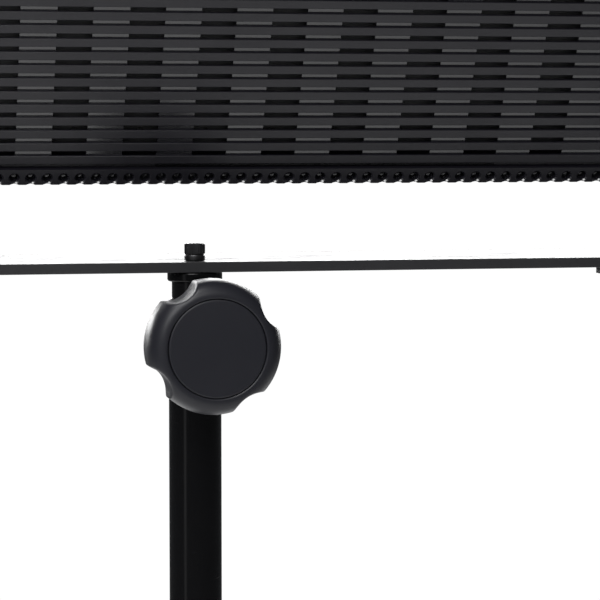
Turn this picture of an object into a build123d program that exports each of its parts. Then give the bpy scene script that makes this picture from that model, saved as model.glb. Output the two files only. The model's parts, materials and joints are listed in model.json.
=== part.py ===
from build123d import *
import math
import os

# A height-adjustable music stand.  Every solid is drawn about the pole's axis with the
# floor at z = 0, and save() then moves it so that the origin lies under the middle of the
# stand's bounding box.  The player stands on the +Y side, and the clamp knob faces -Y.

# ---- driving dimensions, in millimetres ------------------------------------------------
FOOT_REACH = 300.0          # pole axis to the middle of a foot
LEG_ANGLES = {"rear": 90.0, "front_left": 210.0, "front_right": 330.0}
POLE_Y = -FOOT_REACH / 4    # puts the bounding box's middle on the origin

OUTER_TUBE_D = 25.4
OUTER_TUBE_WALL = 1.2
INNER_TUBE_D = 22.2
INNER_TUBE_WALL = 1.2
INNER_TUBE_LENGTH = 380.0
FIT_GAP = 0.08              # radial clearance of a running fit

PLATE_TOP = 720.0
PLATE_THICK = 5.0
PLATE_HALF = 245.5
PLATE_FRONT = -13.0
PLATE_BACK = 67.0

SHELF_GROOVE_Y = 10.0       # a shallow stop line between the bolts and the shelf area
SHELF_GROOVE_W = 1.2
SHELF_GROOVE_DEPTH = 0.6

FLANGE_D = 26.5
FLANGE_THICK = 4.8
PLUG_DEPTH = 26.0
BOLT_D = 6.0
HEAD_D = 10.0
HEAD_H = 5.4
SPACER_H = 3.2
NUT_H = 5.0
NUT_R = 5.7                 # to a corner of the hexagon

HUB_BASE = 88.0
HUB_TOP = 140.0
HUB_D = 52.0
HUB_WALL_BELOW_TUBE = 6.0
HINGE_R = 40.0              # pole axis to a leg's hinge pin
HINGE_Z = 112.0
HINGE_PIN_D = 6.0
KNUCKLE_W = 19.4
EAR_THICK = 5.0
EAR_GAP = 0.3
EAR_REACH = 9.0
NOSE_D = 21.0
KNUCKLE_LENGTH = 62.0
TUBE_START = 26.0           # hinge to the start of the leg tube, inside the knuckle
HUB_CAP_D = 40.0
HUB_CAP_SEAT = 3.0
SET_SCREW_ANGLES = (30.0, 150.0)
SET_SCREW_D = 6.0
SET_SCREW_Z = 130.0
LEG_TUBE_D = 16.0
LEG_TUBE_WALL = 1.5
FOOT_D = 32.0
FOOT_H = 27.0
FOOT_TUBE_Z = 14.0          # height of the leg tube's axis in the middle of a foot
FOOT_SLEEVE = 34.0

KNOB_Z = PLATE_TOP - 37.2
KNOB_R = 31.5
KNOB_FACE_Y = -63.5
KNOB_BACK_Y = -40.0
KNOB_CAP_D = 45.6
SCALLOP_R = 11.7
SCALLOP_DEPTH = 4.7
SCALLOP_PHASE = 31.8        # degrees from +X towards +Z
CAP_SEAT = 2.2
STUD_D = 8.0
STUD_TIP_D = 5.0
STUD_HOLE_D = STUD_D + 1.4
STUD_HEAD = -52.0
STUD_HEAD_R = 7.5
PAD_FACE = -(INNER_TUBE_D / 2 + 0.15)
PAD_LENGTH = 3.5
COLLAR_D = 31.0
COLLAR_TOP = PLATE_TOP - 21.0
COLLAR_BASE = PLATE_TOP - 53.0
NECK_TOP = PLATE_TOP - 18.0
NECK_RIM = 1.5
BOSS_D = 19.0
BOSS_END = -34.0
INSERT_D = 13.0
INSERT_END = -21.0
COLLAR_RIVET_D = 5.0
COLLAR_RIVET_Z = PLATE_TOP - 37.0

TILT = 25.0                 # the desk's lean from upright, at rest
PIVOT_Z = PLATE_TOP + 115.0
DESK_BOTTOM = -83.3         # along the desk, from the pivot
DESK_TOP = 245.0
DESK_HALF = 243.0
CHEEK_THICK = 6.0
SHELL_HALF = DESK_HALF - CHEEK_THICK
RIDGE_FACE = -7.0           # through the desk's thickness, from the pivot
GROOVE_FACE = -5.4
SHELL_INNER = -3.4
SHEET_BACK = 5.0
SHEET_FRONT = 6.5
RAIL_H = 8.2
RAIL_FACE = -8.0
RAIL_BACK_START = -3.0
SHELL_BOTTOM = DESK_BOTTOM + RAIL_H
SHELL_RIM = 3.0
ROW_PITCH = 6.85
GROOVE_W = 2.6
RIDGE_START = DESK_BOTTOM + RAIL_H + 2.5
ROW_COUNT = 45
SLOT_PITCH = 34.5
SLOT_LENGTH = 16.7
SLOT_FIRST = -204.2
SLOTS_PER_ROW = 12
NOTCH_PITCH = 8.0
NOTCH_D = 4.4
NOTCH_Z = DESK_BOTTOM + 3.3
RIVET_Z = RIDGE_START + 2 * ROW_PITCH - GROOVE_W / 2
RIVET_PITCH = 32.7
RIVET_COUNT = 13
RIVET_OFFSET = 10.7
RIVET_D = 3.0
RIVET_HEAD_D = 5.0
RIVET_HEAD_H = 0.8
LEDGE_DEPTH = 55.0
LEDGE_LIP = 14.0
LEDGE_THICK = SHEET_FRONT - SHEET_BACK
LEDGE_TAB = 12.0            # height of the strip that is riveted to the rail
LEDGE_RIVETS = (-210.0, -105.0, 0.0, 105.0, 210.0)
LEDGE_RIVET_D = 3.2
LEDGE_RIVET_Z = DESK_BOTTOM + 5.0
LEDGE_RIVET_DEPTH = 3.0

ARM_THICK = 4.0
ARM_WIDTH = 26.0
ARM_FOOT = 40.0
ARM_INNER = 246.0
ARM_Y = (PLATE_FRONT, PLATE_FRONT + ARM_WIDTH)
ARM_SCREW_X = (218.0, 236.0)
ARM_SCREW_D = 5.0
ARM_NUT_R = 4.6
PIVOT_D = 6.0
PIVOT_INSERT_D = 10.0
CHEEK_SCREWS = (-60.0, 60.0, 140.0, 225.0)
CHEEK_SCREW_D = 4.0


# ---- small helpers -----------------------------------------------------------------------
def save(name, shape):
    """Move a finished piece from the pole's axis to the stand's frame and write it."""
    export_step(Pos(0, POLE_Y, 0) * shape, f"parts/{name}.step")


def rod(d, a, b):
    """A round bar of diameter d from point a to point b."""
    start = Vector(*a)
    run = Vector(*b) - start
    return extrude(Plane(origin=start, z_dir=run) * Circle(d / 2), run.length)


def pipe(d, bore, a, b):
    """A round tube of outer diameter d from point a to point b."""
    start = Vector(*a)
    run = Vector(*b) - start
    return extrude(Plane(origin=start, z_dir=run) * (Circle(d / 2) - Circle(bore / 2)), run.length)


def block(x, y, z):
    """A box given by its lowest and highest value along each axis."""
    size = [hi - lo for lo, hi in (x, y, z)]
    middle = [(hi + lo) / 2 for lo, hi in (x, y, z)]
    return Pos(*middle) * Box(*size)


def turned(points):
    """A solid of revolution about Z from (radius, z) points."""
    face = make_face(Polyline(*points, close=True))
    return revolve(Plane.XZ * face, Axis.Z)


def to_desk(shape):
    """Lean a piece drawn upright about the pivot, and put it in place."""
    return Pos(0, 0, PIVOT_Z) * Rot(TILT, 0, 0) * shape


def to_leg(shape, angle):
    """Turn a piece drawn along +X to the leg's own direction."""
    return Rot(0, 0, angle) * shape


# ---- base: hub and folding legs ------------------------------------------------------------
def hub_casting():
    body = rod(HUB_D, (0, 0, HUB_BASE), (0, 0, HUB_TOP))
    body = fillet(body.edges().filter_by(GeomType.CIRCLE), 3)
    offset = KNUCKLE_W / 2 + EAR_GAP
    for angle in LEG_ANGLES.values():
        for side in (-1, 1):
            y = sorted((side * offset, side * (offset + EAR_THICK)))
            ear = block((15, HINGE_R), y, (HINGE_Z - EAR_REACH, HINGE_Z + EAR_REACH))
            ear += rod(2 * EAR_REACH, (HINGE_R, y[0], HINGE_Z), (HINGE_R, y[1], HINGE_Z))
            body += to_leg(ear, angle)
        body -= to_leg(rod(HINGE_PIN_D, (HINGE_R, -20, HINGE_Z), (HINGE_R, 20, HINGE_Z)), angle)
    body -= rod(OUTER_TUBE_D, (0, 0, HUB_BASE + HUB_WALL_BELOW_TUBE), (0, 0, HUB_TOP + 1))
    body -= rod(HUB_CAP_D, (0, 0, HUB_BASE), (0, 0, HUB_BASE + HUB_CAP_SEAT))
    for angle in SET_SCREW_ANGLES:
        body -= to_leg(rod(SET_SCREW_D, (0, 0, SET_SCREW_Z), (HUB_D, 0, SET_SCREW_Z)), angle)
    return body


def set_screw(angle):
    screw = rod(SET_SCREW_D, (OUTER_TUBE_D / 2, 0, SET_SCREW_Z), (HUB_D / 2 - 0.6, 0, SET_SCREW_Z))
    hexagon = Plane(origin=(HUB_D / 2 - 3.5, 0, SET_SCREW_Z), z_dir=(1, 0, 0)) * RegularPolygon(1.7, 6)
    return to_leg(screw - extrude(hexagon, 4), angle)


def hub_cap():
    disc = rod(HUB_CAP_D - 0.2, (0, 0, HUB_BASE - 1.5), (0, 0, HUB_BASE + HUB_CAP_SEAT))
    return chamfer(disc.edges().group_by(Axis.Z)[0], 1)


def leg_slope():
    return math.degrees(math.atan2(HINGE_Z - FOOT_TUBE_Z, FOOT_REACH - HINGE_R))


def leg_point(distance):
    """A point on a leg tube's axis, at a distance from the hinge, with the leg along +X."""
    slope = math.radians(leg_slope())
    return (HINGE_R + distance * math.cos(slope), 0, HINGE_Z - distance * math.sin(slope))


def leg_knuckle(angle):
    half = KNUCKLE_W / 2
    nose = rod(NOSE_D, (HINGE_R, -half, HINGE_Z), (HINGE_R, half, HINGE_Z))
    heel = block((HUB_D / 2 + 0.3, HINGE_R), (-half, half), (HINGE_Z, HINGE_Z + 10))
    socket = rod(KNUCKLE_W, leg_point(2), leg_point(KNUCKLE_LENGTH))
    socket = chamfer(socket.edges().sort_by(Axis.X)[-1], 1)
    body = nose + heel + socket
    body -= rod(LEG_TUBE_D, leg_point(TUBE_START), leg_point(KNUCKLE_LENGTH + 10))
    body -= rod(HINGE_PIN_D + 2 * FIT_GAP, (HINGE_R, -20, HINGE_Z), (HINGE_R, 20, HINGE_Z))
    return to_leg(body, angle)


def leg_length():
    return math.hypot(FOOT_REACH - HINGE_R, HINGE_Z - FOOT_TUBE_Z)


def leg_tube(angle):
    bore = LEG_TUBE_D - 2 * LEG_TUBE_WALL
    return to_leg(pipe(LEG_TUBE_D, bore, leg_point(TUBE_START), leg_point(leg_length() + 4)), angle)


def foot(angle):
    puck = rod(FOOT_D, (FOOT_REACH, 0, 0), (FOOT_REACH, 0, FOOT_H))
    puck = fillet(puck.edges().group_by(Axis.Z)[-1], 6)
    puck = fillet(puck.edges().group_by(Axis.Z)[0], 2)
    sleeve = rod(LEG_TUBE_D + 6, leg_point(leg_length() - FOOT_SLEEVE), leg_point(leg_length()))
    body = puck + sleeve
    body -= rod(LEG_TUBE_D, leg_point(leg_length() - FOOT_SLEEVE - 6), leg_point(leg_length() + 4))
    return to_leg(body, angle)


def hinge_pin(angle):
    reach = KNUCKLE_W / 2 + EAR_GAP + EAR_THICK
    pin = rod(HINGE_PIN_D, (HINGE_R, -reach, HINGE_Z), (HINGE_R, reach, HINGE_Z))
    for side in (-1, 1):
        pin += rod(9, (HINGE_R, side * reach, HINGE_Z), (HINGE_R, side * (reach + 1.6), HINGE_Z))
    return to_leg(pin, angle)


# ---- pole: tubes, collar and clamp --------------------------------------------------------------
def outer_tube():
    bore = OUTER_TUBE_D - 2 * OUTER_TUBE_WALL
    tube = pipe(OUTER_TUBE_D, bore, (0, 0, HUB_BASE + HUB_WALL_BELOW_TUBE), (0, 0, NECK_TOP - NECK_RIM))
    return tube - rod(STUD_HOLE_D, (0, -30, KNOB_Z), (0, 0, KNOB_Z))


def neck_bush():
    inner = INNER_TUBE_D / 2 + FIT_GAP
    outer = OUTER_TUBE_D / 2 - OUTER_TUBE_WALL
    rim = OUTER_TUBE_D / 2
    seat = NECK_TOP - NECK_RIM
    points = [(inner, NECK_TOP - 12), (outer, NECK_TOP - 12), (outer, seat), (rim, seat)]
    return turned(points + [(rim, NECK_TOP - 0.5), (rim - 0.5, NECK_TOP), (inner, NECK_TOP)])


def clamp_collar():
    ring = rod(COLLAR_D, (0, 0, COLLAR_BASE), (0, 0, COLLAR_TOP))
    ring = fillet(ring.edges().filter_by(GeomType.CIRCLE), 1.5)
    boss = rod(BOSS_D, (0, 0, KNOB_Z), (0, BOSS_END, KNOB_Z))
    boss = fillet(boss.edges().sort_by(Axis.Y)[0], 1)
    body = ring + boss
    body -= rod(OUTER_TUBE_D, (0, 0, COLLAR_BASE - 1), (0, 0, COLLAR_TOP + 1))
    body -= rod(STUD_HOLE_D, (0, -60, KNOB_Z), (0, 0, KNOB_Z))
    body -= rod(INSERT_D, (0, BOSS_END - 1, KNOB_Z), (0, INSERT_END, KNOB_Z))
    return body - rod(COLLAR_RIVET_D, (0, 0, COLLAR_RIVET_Z), (0, 40, COLLAR_RIVET_Z))


def collar_rivet():
    stem = rod(COLLAR_RIVET_D, (0, OUTER_TUBE_D / 2, COLLAR_RIVET_Z), (0, COLLAR_D / 2, COLLAR_RIVET_Z))
    head = rod(8, (0, COLLAR_D / 2, COLLAR_RIVET_Z), (0, COLLAR_D / 2 + 1.6, COLLAR_RIVET_Z))
    return stem + fillet(head.edges().sort_by(Axis.Y)[-1], 1)


def collar_insert():
    return pipe(INSERT_D, STUD_D + 2 * FIT_GAP, (0, BOSS_END, KNOB_Z), (0, INSERT_END, KNOB_Z))


def clamp_pad():
    pad = rod(8.6, (0, PAD_FACE, KNOB_Z), (0, PAD_FACE - PAD_LENGTH, KNOB_Z))
    socket_d = STUD_TIP_D + 2 * FIT_GAP
    return pad - rod(socket_d, (0, PAD_FACE - 1.5, KNOB_Z), (0, PAD_FACE - PAD_LENGTH, KNOB_Z))


def clamp_stud():
    shank = rod(STUD_D, (0, PAD_FACE - PAD_LENGTH - 0.2, KNOB_Z), (0, STUD_HEAD, KNOB_Z))
    tip = rod(STUD_TIP_D, (0, PAD_FACE - 1.7, KNOB_Z), (0, PAD_FACE - PAD_LENGTH - 0.2, KNOB_Z))
    hexagon = Plane(origin=(0, STUD_HEAD, KNOB_Z), z_dir=(0, -1, 0)) * RegularPolygon(STUD_HEAD_R, 6)
    return shank + tip + extrude(hexagon, 5.5)


def knob_outline():
    """The knob's four-lobed outline: a disc with four round bites and softened shoulders."""
    disc = Circle(KNOB_R)
    for step in range(4):
        angle = math.radians(SCALLOP_PHASE + 90 * step)
        far = KNOB_R - SCALLOP_DEPTH + SCALLOP_R
        disc -= Pos(far * math.cos(angle), far * math.sin(angle)) * Circle(SCALLOP_R)
    return fillet(disc.vertices(), 4)


def clamp_knob():
    front = KNOB_FACE_Y
    shoulder = front + 11.5
    seat_r = KNOB_CAP_D / 2 + 0.3
    plane = Plane(origin=(0, 0, KNOB_Z), x_dir=(1, 0, 0), z_dir=(0, -1, 0))
    prism = extrude(plane * knob_outline(), -front)
    prism -= block((-50, 50), (KNOB_BACK_Y, 1), (KNOB_Z - 50, KNOB_Z + 50))
    back_edge = [(0, KNOB_BACK_Y), (KNOB_R - 3, KNOB_BACK_Y), (KNOB_R, KNOB_BACK_Y - 3)]
    line = Polyline(*back_edge, (KNOB_R, shoulder))
    dome = ThreePointArc((KNOB_R, shoulder), (KNOB_R - 2.4, front + 4.2), (seat_r + 0.8, front))
    rest = Polyline((seat_r + 0.8, front), (0, front), (0, KNOB_BACK_Y))
    crown = revolve(make_face([line, dome, rest]), Axis.Y)
    body = prism & (Pos(0, 0, KNOB_Z) * crown)
    body -= rod(2 * seat_r, (0, front - 1, KNOB_Z), (0, front + CAP_SEAT, KNOB_Z))
    body -= rod(STUD_D, (0, KNOB_BACK_Y + 1, KNOB_Z), (0, STUD_HEAD, KNOB_Z))
    pocket = Plane(origin=(0, STUD_HEAD, KNOB_Z), z_dir=(0, -1, 0)) * RegularPolygon(STUD_HEAD_R, 6)
    body -= extrude(pocket, 20)
    ring = pipe(2 * 26, 2 * 12, (0, KNOB_BACK_Y, KNOB_Z), (0, KNOB_BACK_Y - 7, KNOB_Z))
    return body - ring


def knob_cap():
    disc = rod(KNOB_CAP_D, (0, KNOB_FACE_Y, KNOB_Z), (0, KNOB_FACE_Y + CAP_SEAT, KNOB_Z))
    disc = fillet(disc.edges().sort_by(Axis.Y)[0], 0.4)
    return disc + rod(11, (0, KNOB_FACE_Y + CAP_SEAT, KNOB_Z), (0, STUD_HEAD - 5.5, KNOB_Z))


def guide_bush():
    bottom = PLATE_TOP - PLATE_THICK - FLANGE_THICK - INNER_TUBE_LENGTH
    outer = OUTER_TUBE_D / 2 - OUTER_TUBE_WALL - FIT_GAP
    spigot = INNER_TUBE_D / 2 - INNER_TUBE_WALL - FIT_GAP
    low = bottom - 0.2 - 14
    points = [(7, low), (outer - 1, low), (outer, low + 1), (outer, bottom - 0.2)]
    return turned(points + [(spigot, bottom - 0.2), (spigot, bottom + 14), (7, bottom + 14)])


def inner_tube():
    top = PLATE_TOP - PLATE_THICK - FLANGE_THICK
    bore = INNER_TUBE_D - 2 * INNER_TUBE_WALL
    return pipe(INNER_TUBE_D, bore, (0, 0, top - INNER_TUBE_LENGTH), (0, 0, top))


# ---- head: plug, cross plate, bolt and side arms ---------------------------------------------------
def flanged_plug():
    under = PLATE_TOP - PLATE_THICK
    seat = under - FLANGE_THICK
    spigot = INNER_TUBE_D / 2 - INNER_TUBE_WALL
    rim = FLANGE_D / 2
    points = [(0, seat - PLUG_DEPTH), (spigot - 1, seat - PLUG_DEPTH), (spigot, seat - PLUG_DEPTH + 1)]
    points += [(spigot, seat), (rim - 0.6, seat), (rim, seat + 0.6), (rim, under - 0.6)]
    points += [(rim - 0.6, under), (0, under)]
    plug = turned(points) - rod(BOLT_D, (0, 0, seat - PLUG_DEPTH - 1), (0, 0, under + 1))
    return plug - extrude(Pos(0, 0, seat - PLUG_DEPTH) * RegularPolygon(NUT_R, 6), NUT_H + 1)


def captive_nut():
    low = PLATE_TOP - PLATE_THICK - FLANGE_THICK - PLUG_DEPTH + 1
    return extrude(Pos(0, 0, low) * (RegularPolygon(NUT_R, 6) - Circle(BOLT_D / 2)), NUT_H)


def head_bolt():
    under_head = PLATE_TOP + SPACER_H
    low = PLATE_TOP - PLATE_THICK - FLANGE_THICK - PLUG_DEPTH - 2
    head = rod(HEAD_D, (0, 0, under_head), (0, 0, under_head + HEAD_H))
    head = fillet(head.edges().group_by(Axis.Z)[-1], 0.6)
    head -= extrude(Pos(0, 0, under_head + 2.2) * RegularPolygon(2.9, 6), HEAD_H)
    return head + rod(BOLT_D, (0, 0, low), (0, 0, under_head))


def bolt_spacer():
    ring = pipe(HEAD_D + 0.2, BOLT_D, (0, 0, PLATE_TOP), (0, 0, PLATE_TOP + SPACER_H))
    return fillet(ring.edges().filter_by(GeomType.CIRCLE).sort_by(SortBy.RADIUS)[-2:], 0.7)


def cross_plate():
    plate = block((-PLATE_HALF, PLATE_HALF), (PLATE_FRONT, PLATE_BACK), (PLATE_TOP - PLATE_THICK, PLATE_TOP))
    plate = fillet(plate.edges().filter_by(Axis.Z), 6)
    plate = fillet(plate.edges().group_by(Axis.Z)[-1], 0.5)
    plate = fillet(plate.edges().group_by(Axis.Z)[0], 0.5)
    plate -= rod(BOLT_D, (0, 0, PLATE_TOP - 10), (0, 0, PLATE_TOP + 1))
    groove_y = (SHELF_GROOVE_Y, SHELF_GROOVE_Y + SHELF_GROOVE_W)
    plate -= block((-300, 300), groove_y, (PLATE_TOP - SHELF_GROOVE_DEPTH, PLATE_TOP + 1))
    for x in ARM_SCREW_X:
        for side in (-1, 1):
            plate -= rod(ARM_SCREW_D, (side * x, 0, PLATE_TOP - 10), (side * x, 0, PLATE_TOP + 1))
    return plate


def side_arm(side):
    low = PLATE_TOP - PLATE_THICK - ARM_THICK
    under = block((ARM_INNER - ARM_FOOT, ARM_INNER + ARM_THICK), ARM_Y, (low, low + ARM_THICK))
    upright = block((ARM_INNER, ARM_INNER + ARM_THICK), ARM_Y, (low, PIVOT_Z))
    eye = rod(ARM_WIDTH, (ARM_INNER, 0, PIVOT_Z), (ARM_INNER + ARM_THICK, 0, PIVOT_Z))
    arm = under + upright + eye
    outer_corner = arm.edges().filter_by(Axis.Y).group_by(Axis.Z)[0].sort_by(Axis.X)[-1]
    arm = fillet(outer_corner, 3.5)
    arm -= rod(PIVOT_D + 2 * FIT_GAP, (ARM_INNER - 1, 0, PIVOT_Z), (ARM_INNER + 10, 0, PIVOT_Z))
    for x in ARM_SCREW_X:
        arm -= rod(ARM_SCREW_D, (x, 0, low - 1), (x, 0, PLATE_TOP))
    return arm if side > 0 else mirror(arm, Plane.YZ)


def arm_screws():
    low = PLATE_TOP - PLATE_THICK - ARM_THICK
    group = []
    for x in [side * x for side in (-1, 1) for x in ARM_SCREW_X]:
        head = rod(9, (x, 0, PLATE_TOP), (x, 0, PLATE_TOP + 2.7))
        head = fillet(head.edges().group_by(Axis.Z)[-1], 1.6)
        head -= extrude(Pos(x, 0, PLATE_TOP + 1) * RegularPolygon(1.7, 6), 3)
        group.append(head + rod(ARM_SCREW_D, (x, 0, low - 5.5), (x, 0, PLATE_TOP)))
    return Compound(group)


def arm_nuts():
    top = PLATE_TOP - PLATE_THICK - ARM_THICK
    outline = RegularPolygon(ARM_NUT_R, 6) - Circle(ARM_SCREW_D / 2)
    centres = [side * x for side in (-1, 1) for x in ARM_SCREW_X]
    return Compound([extrude(Pos(x, 0, top - 4) * outline, 4) for x in centres])


# ---- desk: drawn upright about the pivot, then leaned --------------------------------------------------
def shell_profile():
    """The ribbed section of the rear shell, as (thickness, height) points."""
    points = [(SHEET_BACK, SHELL_BOTTOM), (GROOVE_FACE, SHELL_BOTTOM)]
    z = RIDGE_START
    for row in range(ROW_COUNT):
        points += [(GROOVE_FACE, z), (RIDGE_FACE, z), (RIDGE_FACE, z + ROW_PITCH - GROOVE_W)]
        points += [(GROOVE_FACE, z + ROW_PITCH - GROOVE_W)]
        z += ROW_PITCH
    points += [(GROOVE_FACE, z), (RIDGE_FACE, z), (RIDGE_FACE, DESK_TOP - 2), (RIDGE_FACE + 2, DESK_TOP)]
    points += [(SHEET_BACK, DESK_TOP), (SHEET_BACK, DESK_TOP - SHELL_RIM)]
    points += [(SHELL_INNER, DESK_TOP - SHELL_RIM)]
    return points + [(SHELL_INNER, SHELL_BOTTOM + SHELL_RIM), (SHEET_BACK, SHELL_BOTTOM + SHELL_RIM)]


def slot_boxes():
    """The slots: one row in each groove, all in the same columns."""
    boxes = []
    for row in range(ROW_COUNT):
        z = RIDGE_START + row * ROW_PITCH + ROW_PITCH - GROOVE_W
        for column in range(SLOTS_PER_ROW):
            start = SLOT_FIRST + column * SLOT_PITCH
            x = (start, start + SLOT_LENGTH)
            boxes.append(block(x, (GROOVE_FACE - 1, SHELL_INNER + 1), (z, z + GROOVE_W)))
    return boxes


def desk_shell():
    face = make_face(Polyline(*shell_profile(), close=True))
    shell = extrude(Plane.YZ * face, SHELL_HALF, both=True)
    for side in (-1, 1):
        x = sorted((side * (SHELL_HALF - SHELL_RIM), side * SHELL_HALF))
        shell += block(x, (SHELL_INNER - 1, SHEET_BACK), (SHELL_BOTTOM + 1, DESK_TOP - 1))
    return to_desk(shell - slot_boxes())


def desk_sheet():
    """The smooth face that carries the music, with countersinks for its flush rivets."""
    low = DESK_BOTTOM + LEDGE_TAB + 0.3
    sheet = block((-SHELL_HALF, SHELL_HALF), (SHEET_BACK, SHEET_FRONT), (low, DESK_TOP))
    for x in rivet_places():
        sheet -= rod(RIVET_D, (x, SHEET_BACK - 1, RIVET_Z), (x, SHEET_FRONT + 1, RIVET_Z))
        seat = (x, SHEET_FRONT - RIVET_HEAD_H, RIVET_Z)
        sheet -= rod(RIVET_HEAD_D, seat, (x, SHEET_FRONT + 1, RIVET_Z))
    return to_desk(sheet)


def rivet_places():
    return [RIVET_PITCH * (i - RIVET_COUNT // 2) + RIVET_OFFSET for i in range(RIVET_COUNT)]


def sheet_rivets():
    group = []
    for x in rivet_places():
        stem = rod(RIVET_D, (x, SHEET_BACK - 2.5, RIVET_Z), (x, SHEET_FRONT, RIVET_Z))
        head = rod(RIVET_HEAD_D, (x, SHEET_FRONT - RIVET_HEAD_H, RIVET_Z), (x, SHEET_FRONT, RIVET_Z))
        group.append(stem + head)
    return to_desk(Compound(group))


def toothed_rail():
    """The bottom rail: a strip with a row of round pockets and a lightly scalloped edge."""
    outline = Pos(0, DESK_BOTTOM + RAIL_H / 2) * Rectangle(2 * SHELL_HALF, RAIL_H)
    count = int((2 * SHELL_HALF - 6) / NOTCH_PITCH)
    for i in range(count):
        x = (i - (count - 1) / 2) * NOTCH_PITCH
        outline -= Pos(x, NOTCH_Z) * Circle(NOTCH_D / 2)
        outline -= Pos(x, DESK_BOTTOM - 3.5) * Circle(4)
    strip = extrude(Plane.XZ * outline, -RAIL_FACE)
    strip -= block((-300, 300), (RAIL_BACK_START, 10), (-300, 300))
    backing_y = (RAIL_BACK_START, SHEET_BACK)
    backing = block((-SHELL_HALF, SHELL_HALF), backing_y, (DESK_BOTTOM + 0.5, SHELL_BOTTOM))
    hole_end = SHEET_BACK - LEDGE_RIVET_DEPTH
    for x in LEDGE_RIVETS:
        backing -= rod(LEDGE_RIVET_D, (x, hole_end, LEDGE_RIVET_Z), (x, 20, LEDGE_RIVET_Z))
    return to_desk(strip + backing)


def ledge():
    """The sheet rest on the player's side: a tray bent up into a low front lip."""
    front = SHEET_FRONT + LEDGE_DEPTH
    low = DESK_BOTTOM
    tray = block((-SHELL_HALF, SHELL_HALF), (SHEET_BACK, front), (low, low + LEDGE_THICK))
    lip = block((-SHELL_HALF, SHELL_HALF), (front - LEDGE_THICK, front), (low, low + LEDGE_LIP))
    bent = tray + lip
    corner = bent.edges().filter_by(Axis.X).group_by(Axis.Z)[0].sort_by(Axis.Y)[-1]
    bent = fillet(corner, 1.4)
    bent += block((-SHELL_HALF, SHELL_HALF), (SHEET_BACK, SHEET_FRONT), (low, low + LEDGE_TAB))
    for x in LEDGE_RIVETS:
        bent -= rod(LEDGE_RIVET_D, (x, 0, LEDGE_RIVET_Z), (x, 20, LEDGE_RIVET_Z))
    return to_desk(bent)


def ledge_rivets():
    z = LEDGE_RIVET_Z
    group = []
    for x in LEDGE_RIVETS:
        head = rod(6, (x, SHEET_FRONT, z), (x, SHEET_FRONT + 1.2, z))
        head = fillet(head.edges().sort_by(Axis.Y)[-1], 0.8)
        group.append(head + rod(LEDGE_RIVET_D, (x, SHEET_BACK - LEDGE_RIVET_DEPTH, z), (x, SHEET_FRONT, z)))
    return to_desk(Compound(group))


def end_cheek(side):
    """A moulded end cap along one side of the desk, thickened round the pivot."""
    x = (SHELL_HALF, DESK_HALF)
    body = block(x, (RAIL_FACE, SHEET_FRONT), (DESK_BOTTOM, DESK_TOP))
    body = fillet(body.edges().filter_by(Axis.X), 2.5)
    body += block(x, (SHEET_FRONT - 3, SHEET_FRONT + LEDGE_DEPTH), (DESK_BOTTOM, DESK_BOTTOM + LEDGE_LIP))
    boss = rod(24, (SHELL_HALF, 0, 0), (DESK_HALF, 0, 0))
    body += boss
    body -= rod(PIVOT_INSERT_D, (SHELL_HALF - 1, 0, 0), (DESK_HALF + 1, 0, 0))
    for z in CHEEK_SCREWS:
        body -= rod(CHEEK_SCREW_D, (SHELL_HALF - 1, 0, z), (DESK_HALF + 1, 0, z))
    return to_desk(body if side > 0 else mirror(body, Plane.YZ))


def pivot_insert(side):
    return to_desk(pipe(PIVOT_INSERT_D, PIVOT_D, (side * SHELL_HALF, 0, 0), (side * DESK_HALF, 0, 0)))


def cheek_screws():
    group = []
    for side in (-1, 1):
        for z in CHEEK_SCREWS:
            stem = rod(CHEEK_SCREW_D, (side * SHELL_HALF, 0, z), (side * DESK_HALF, 0, z))
            head = rod(7, (side * DESK_HALF, 0, z), (side * (DESK_HALF + 1.4), 0, z))
            group.append(stem + head)
    return to_desk(Compound(group))


def pivot_bolt(side):
    start = side * SHELL_HALF
    under = side * (ARM_INNER + ARM_THICK + 1.2)
    bolt = rod(PIVOT_D, (start, 0, 0), (under, 0, 0)) + rod(12, (under, 0, 0), (under + side * 3.5, 0, 0))
    hexagon = Plane(origin=(under + side * 1.2, 0, 0), z_dir=(side, 0, 0)) * RegularPolygon(2.3, 6)
    return to_desk(bolt - extrude(hexagon, 4))


def friction_washer(side):
    inner = side * (DESK_HALF + 0.1)
    return to_desk(pipe(20, PIVOT_D + 2 * FIT_GAP, (inner, 0, 0), (side * (ARM_INNER - 0.1), 0, 0)))


def spring_washer(side):
    start = side * (ARM_INNER + ARM_THICK)
    return to_desk(pipe(13, PIVOT_D + 2 * FIT_GAP, (start, 0, 0), (start + side * 1.1, 0, 0)))


# ---- write every piece -----------------------------------------------------------------------
os.makedirs("parts", exist_ok=True)

save("hub_casting", hub_casting())
save("hub_bottom_cap", hub_cap())
save("hub_set_screws", Compound([set_screw(angle) for angle in SET_SCREW_ANGLES]))
for place, heading in LEG_ANGLES.items():
    save(f"leg_knuckle_{place}", leg_knuckle(heading))
    save(f"leg_tube_{place}", leg_tube(heading))
    save(f"rubber_foot_{place}", foot(heading))
    save(f"hinge_pin_{place}", hinge_pin(heading))

save("outer_tube", outer_tube())
save("neck_bush", neck_bush())
save("clamp_collar", clamp_collar())
save("collar_rivet", collar_rivet())
save("collar_thread_insert", collar_insert())
save("clamp_pad", clamp_pad())
save("clamp_stud", clamp_stud())
save("clamp_knob", clamp_knob())
save("clamp_knob_cap", knob_cap())
save("guide_bush", guide_bush())
save("inner_tube", inner_tube())

save("flanged_plug", flanged_plug())
save("captive_nut", captive_nut())
save("head_bolt", head_bolt())
save("head_bolt_spacer", bolt_spacer())
save("cross_plate", cross_plate())
save("arm_screws", arm_screws())
save("arm_nuts", arm_nuts())

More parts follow.
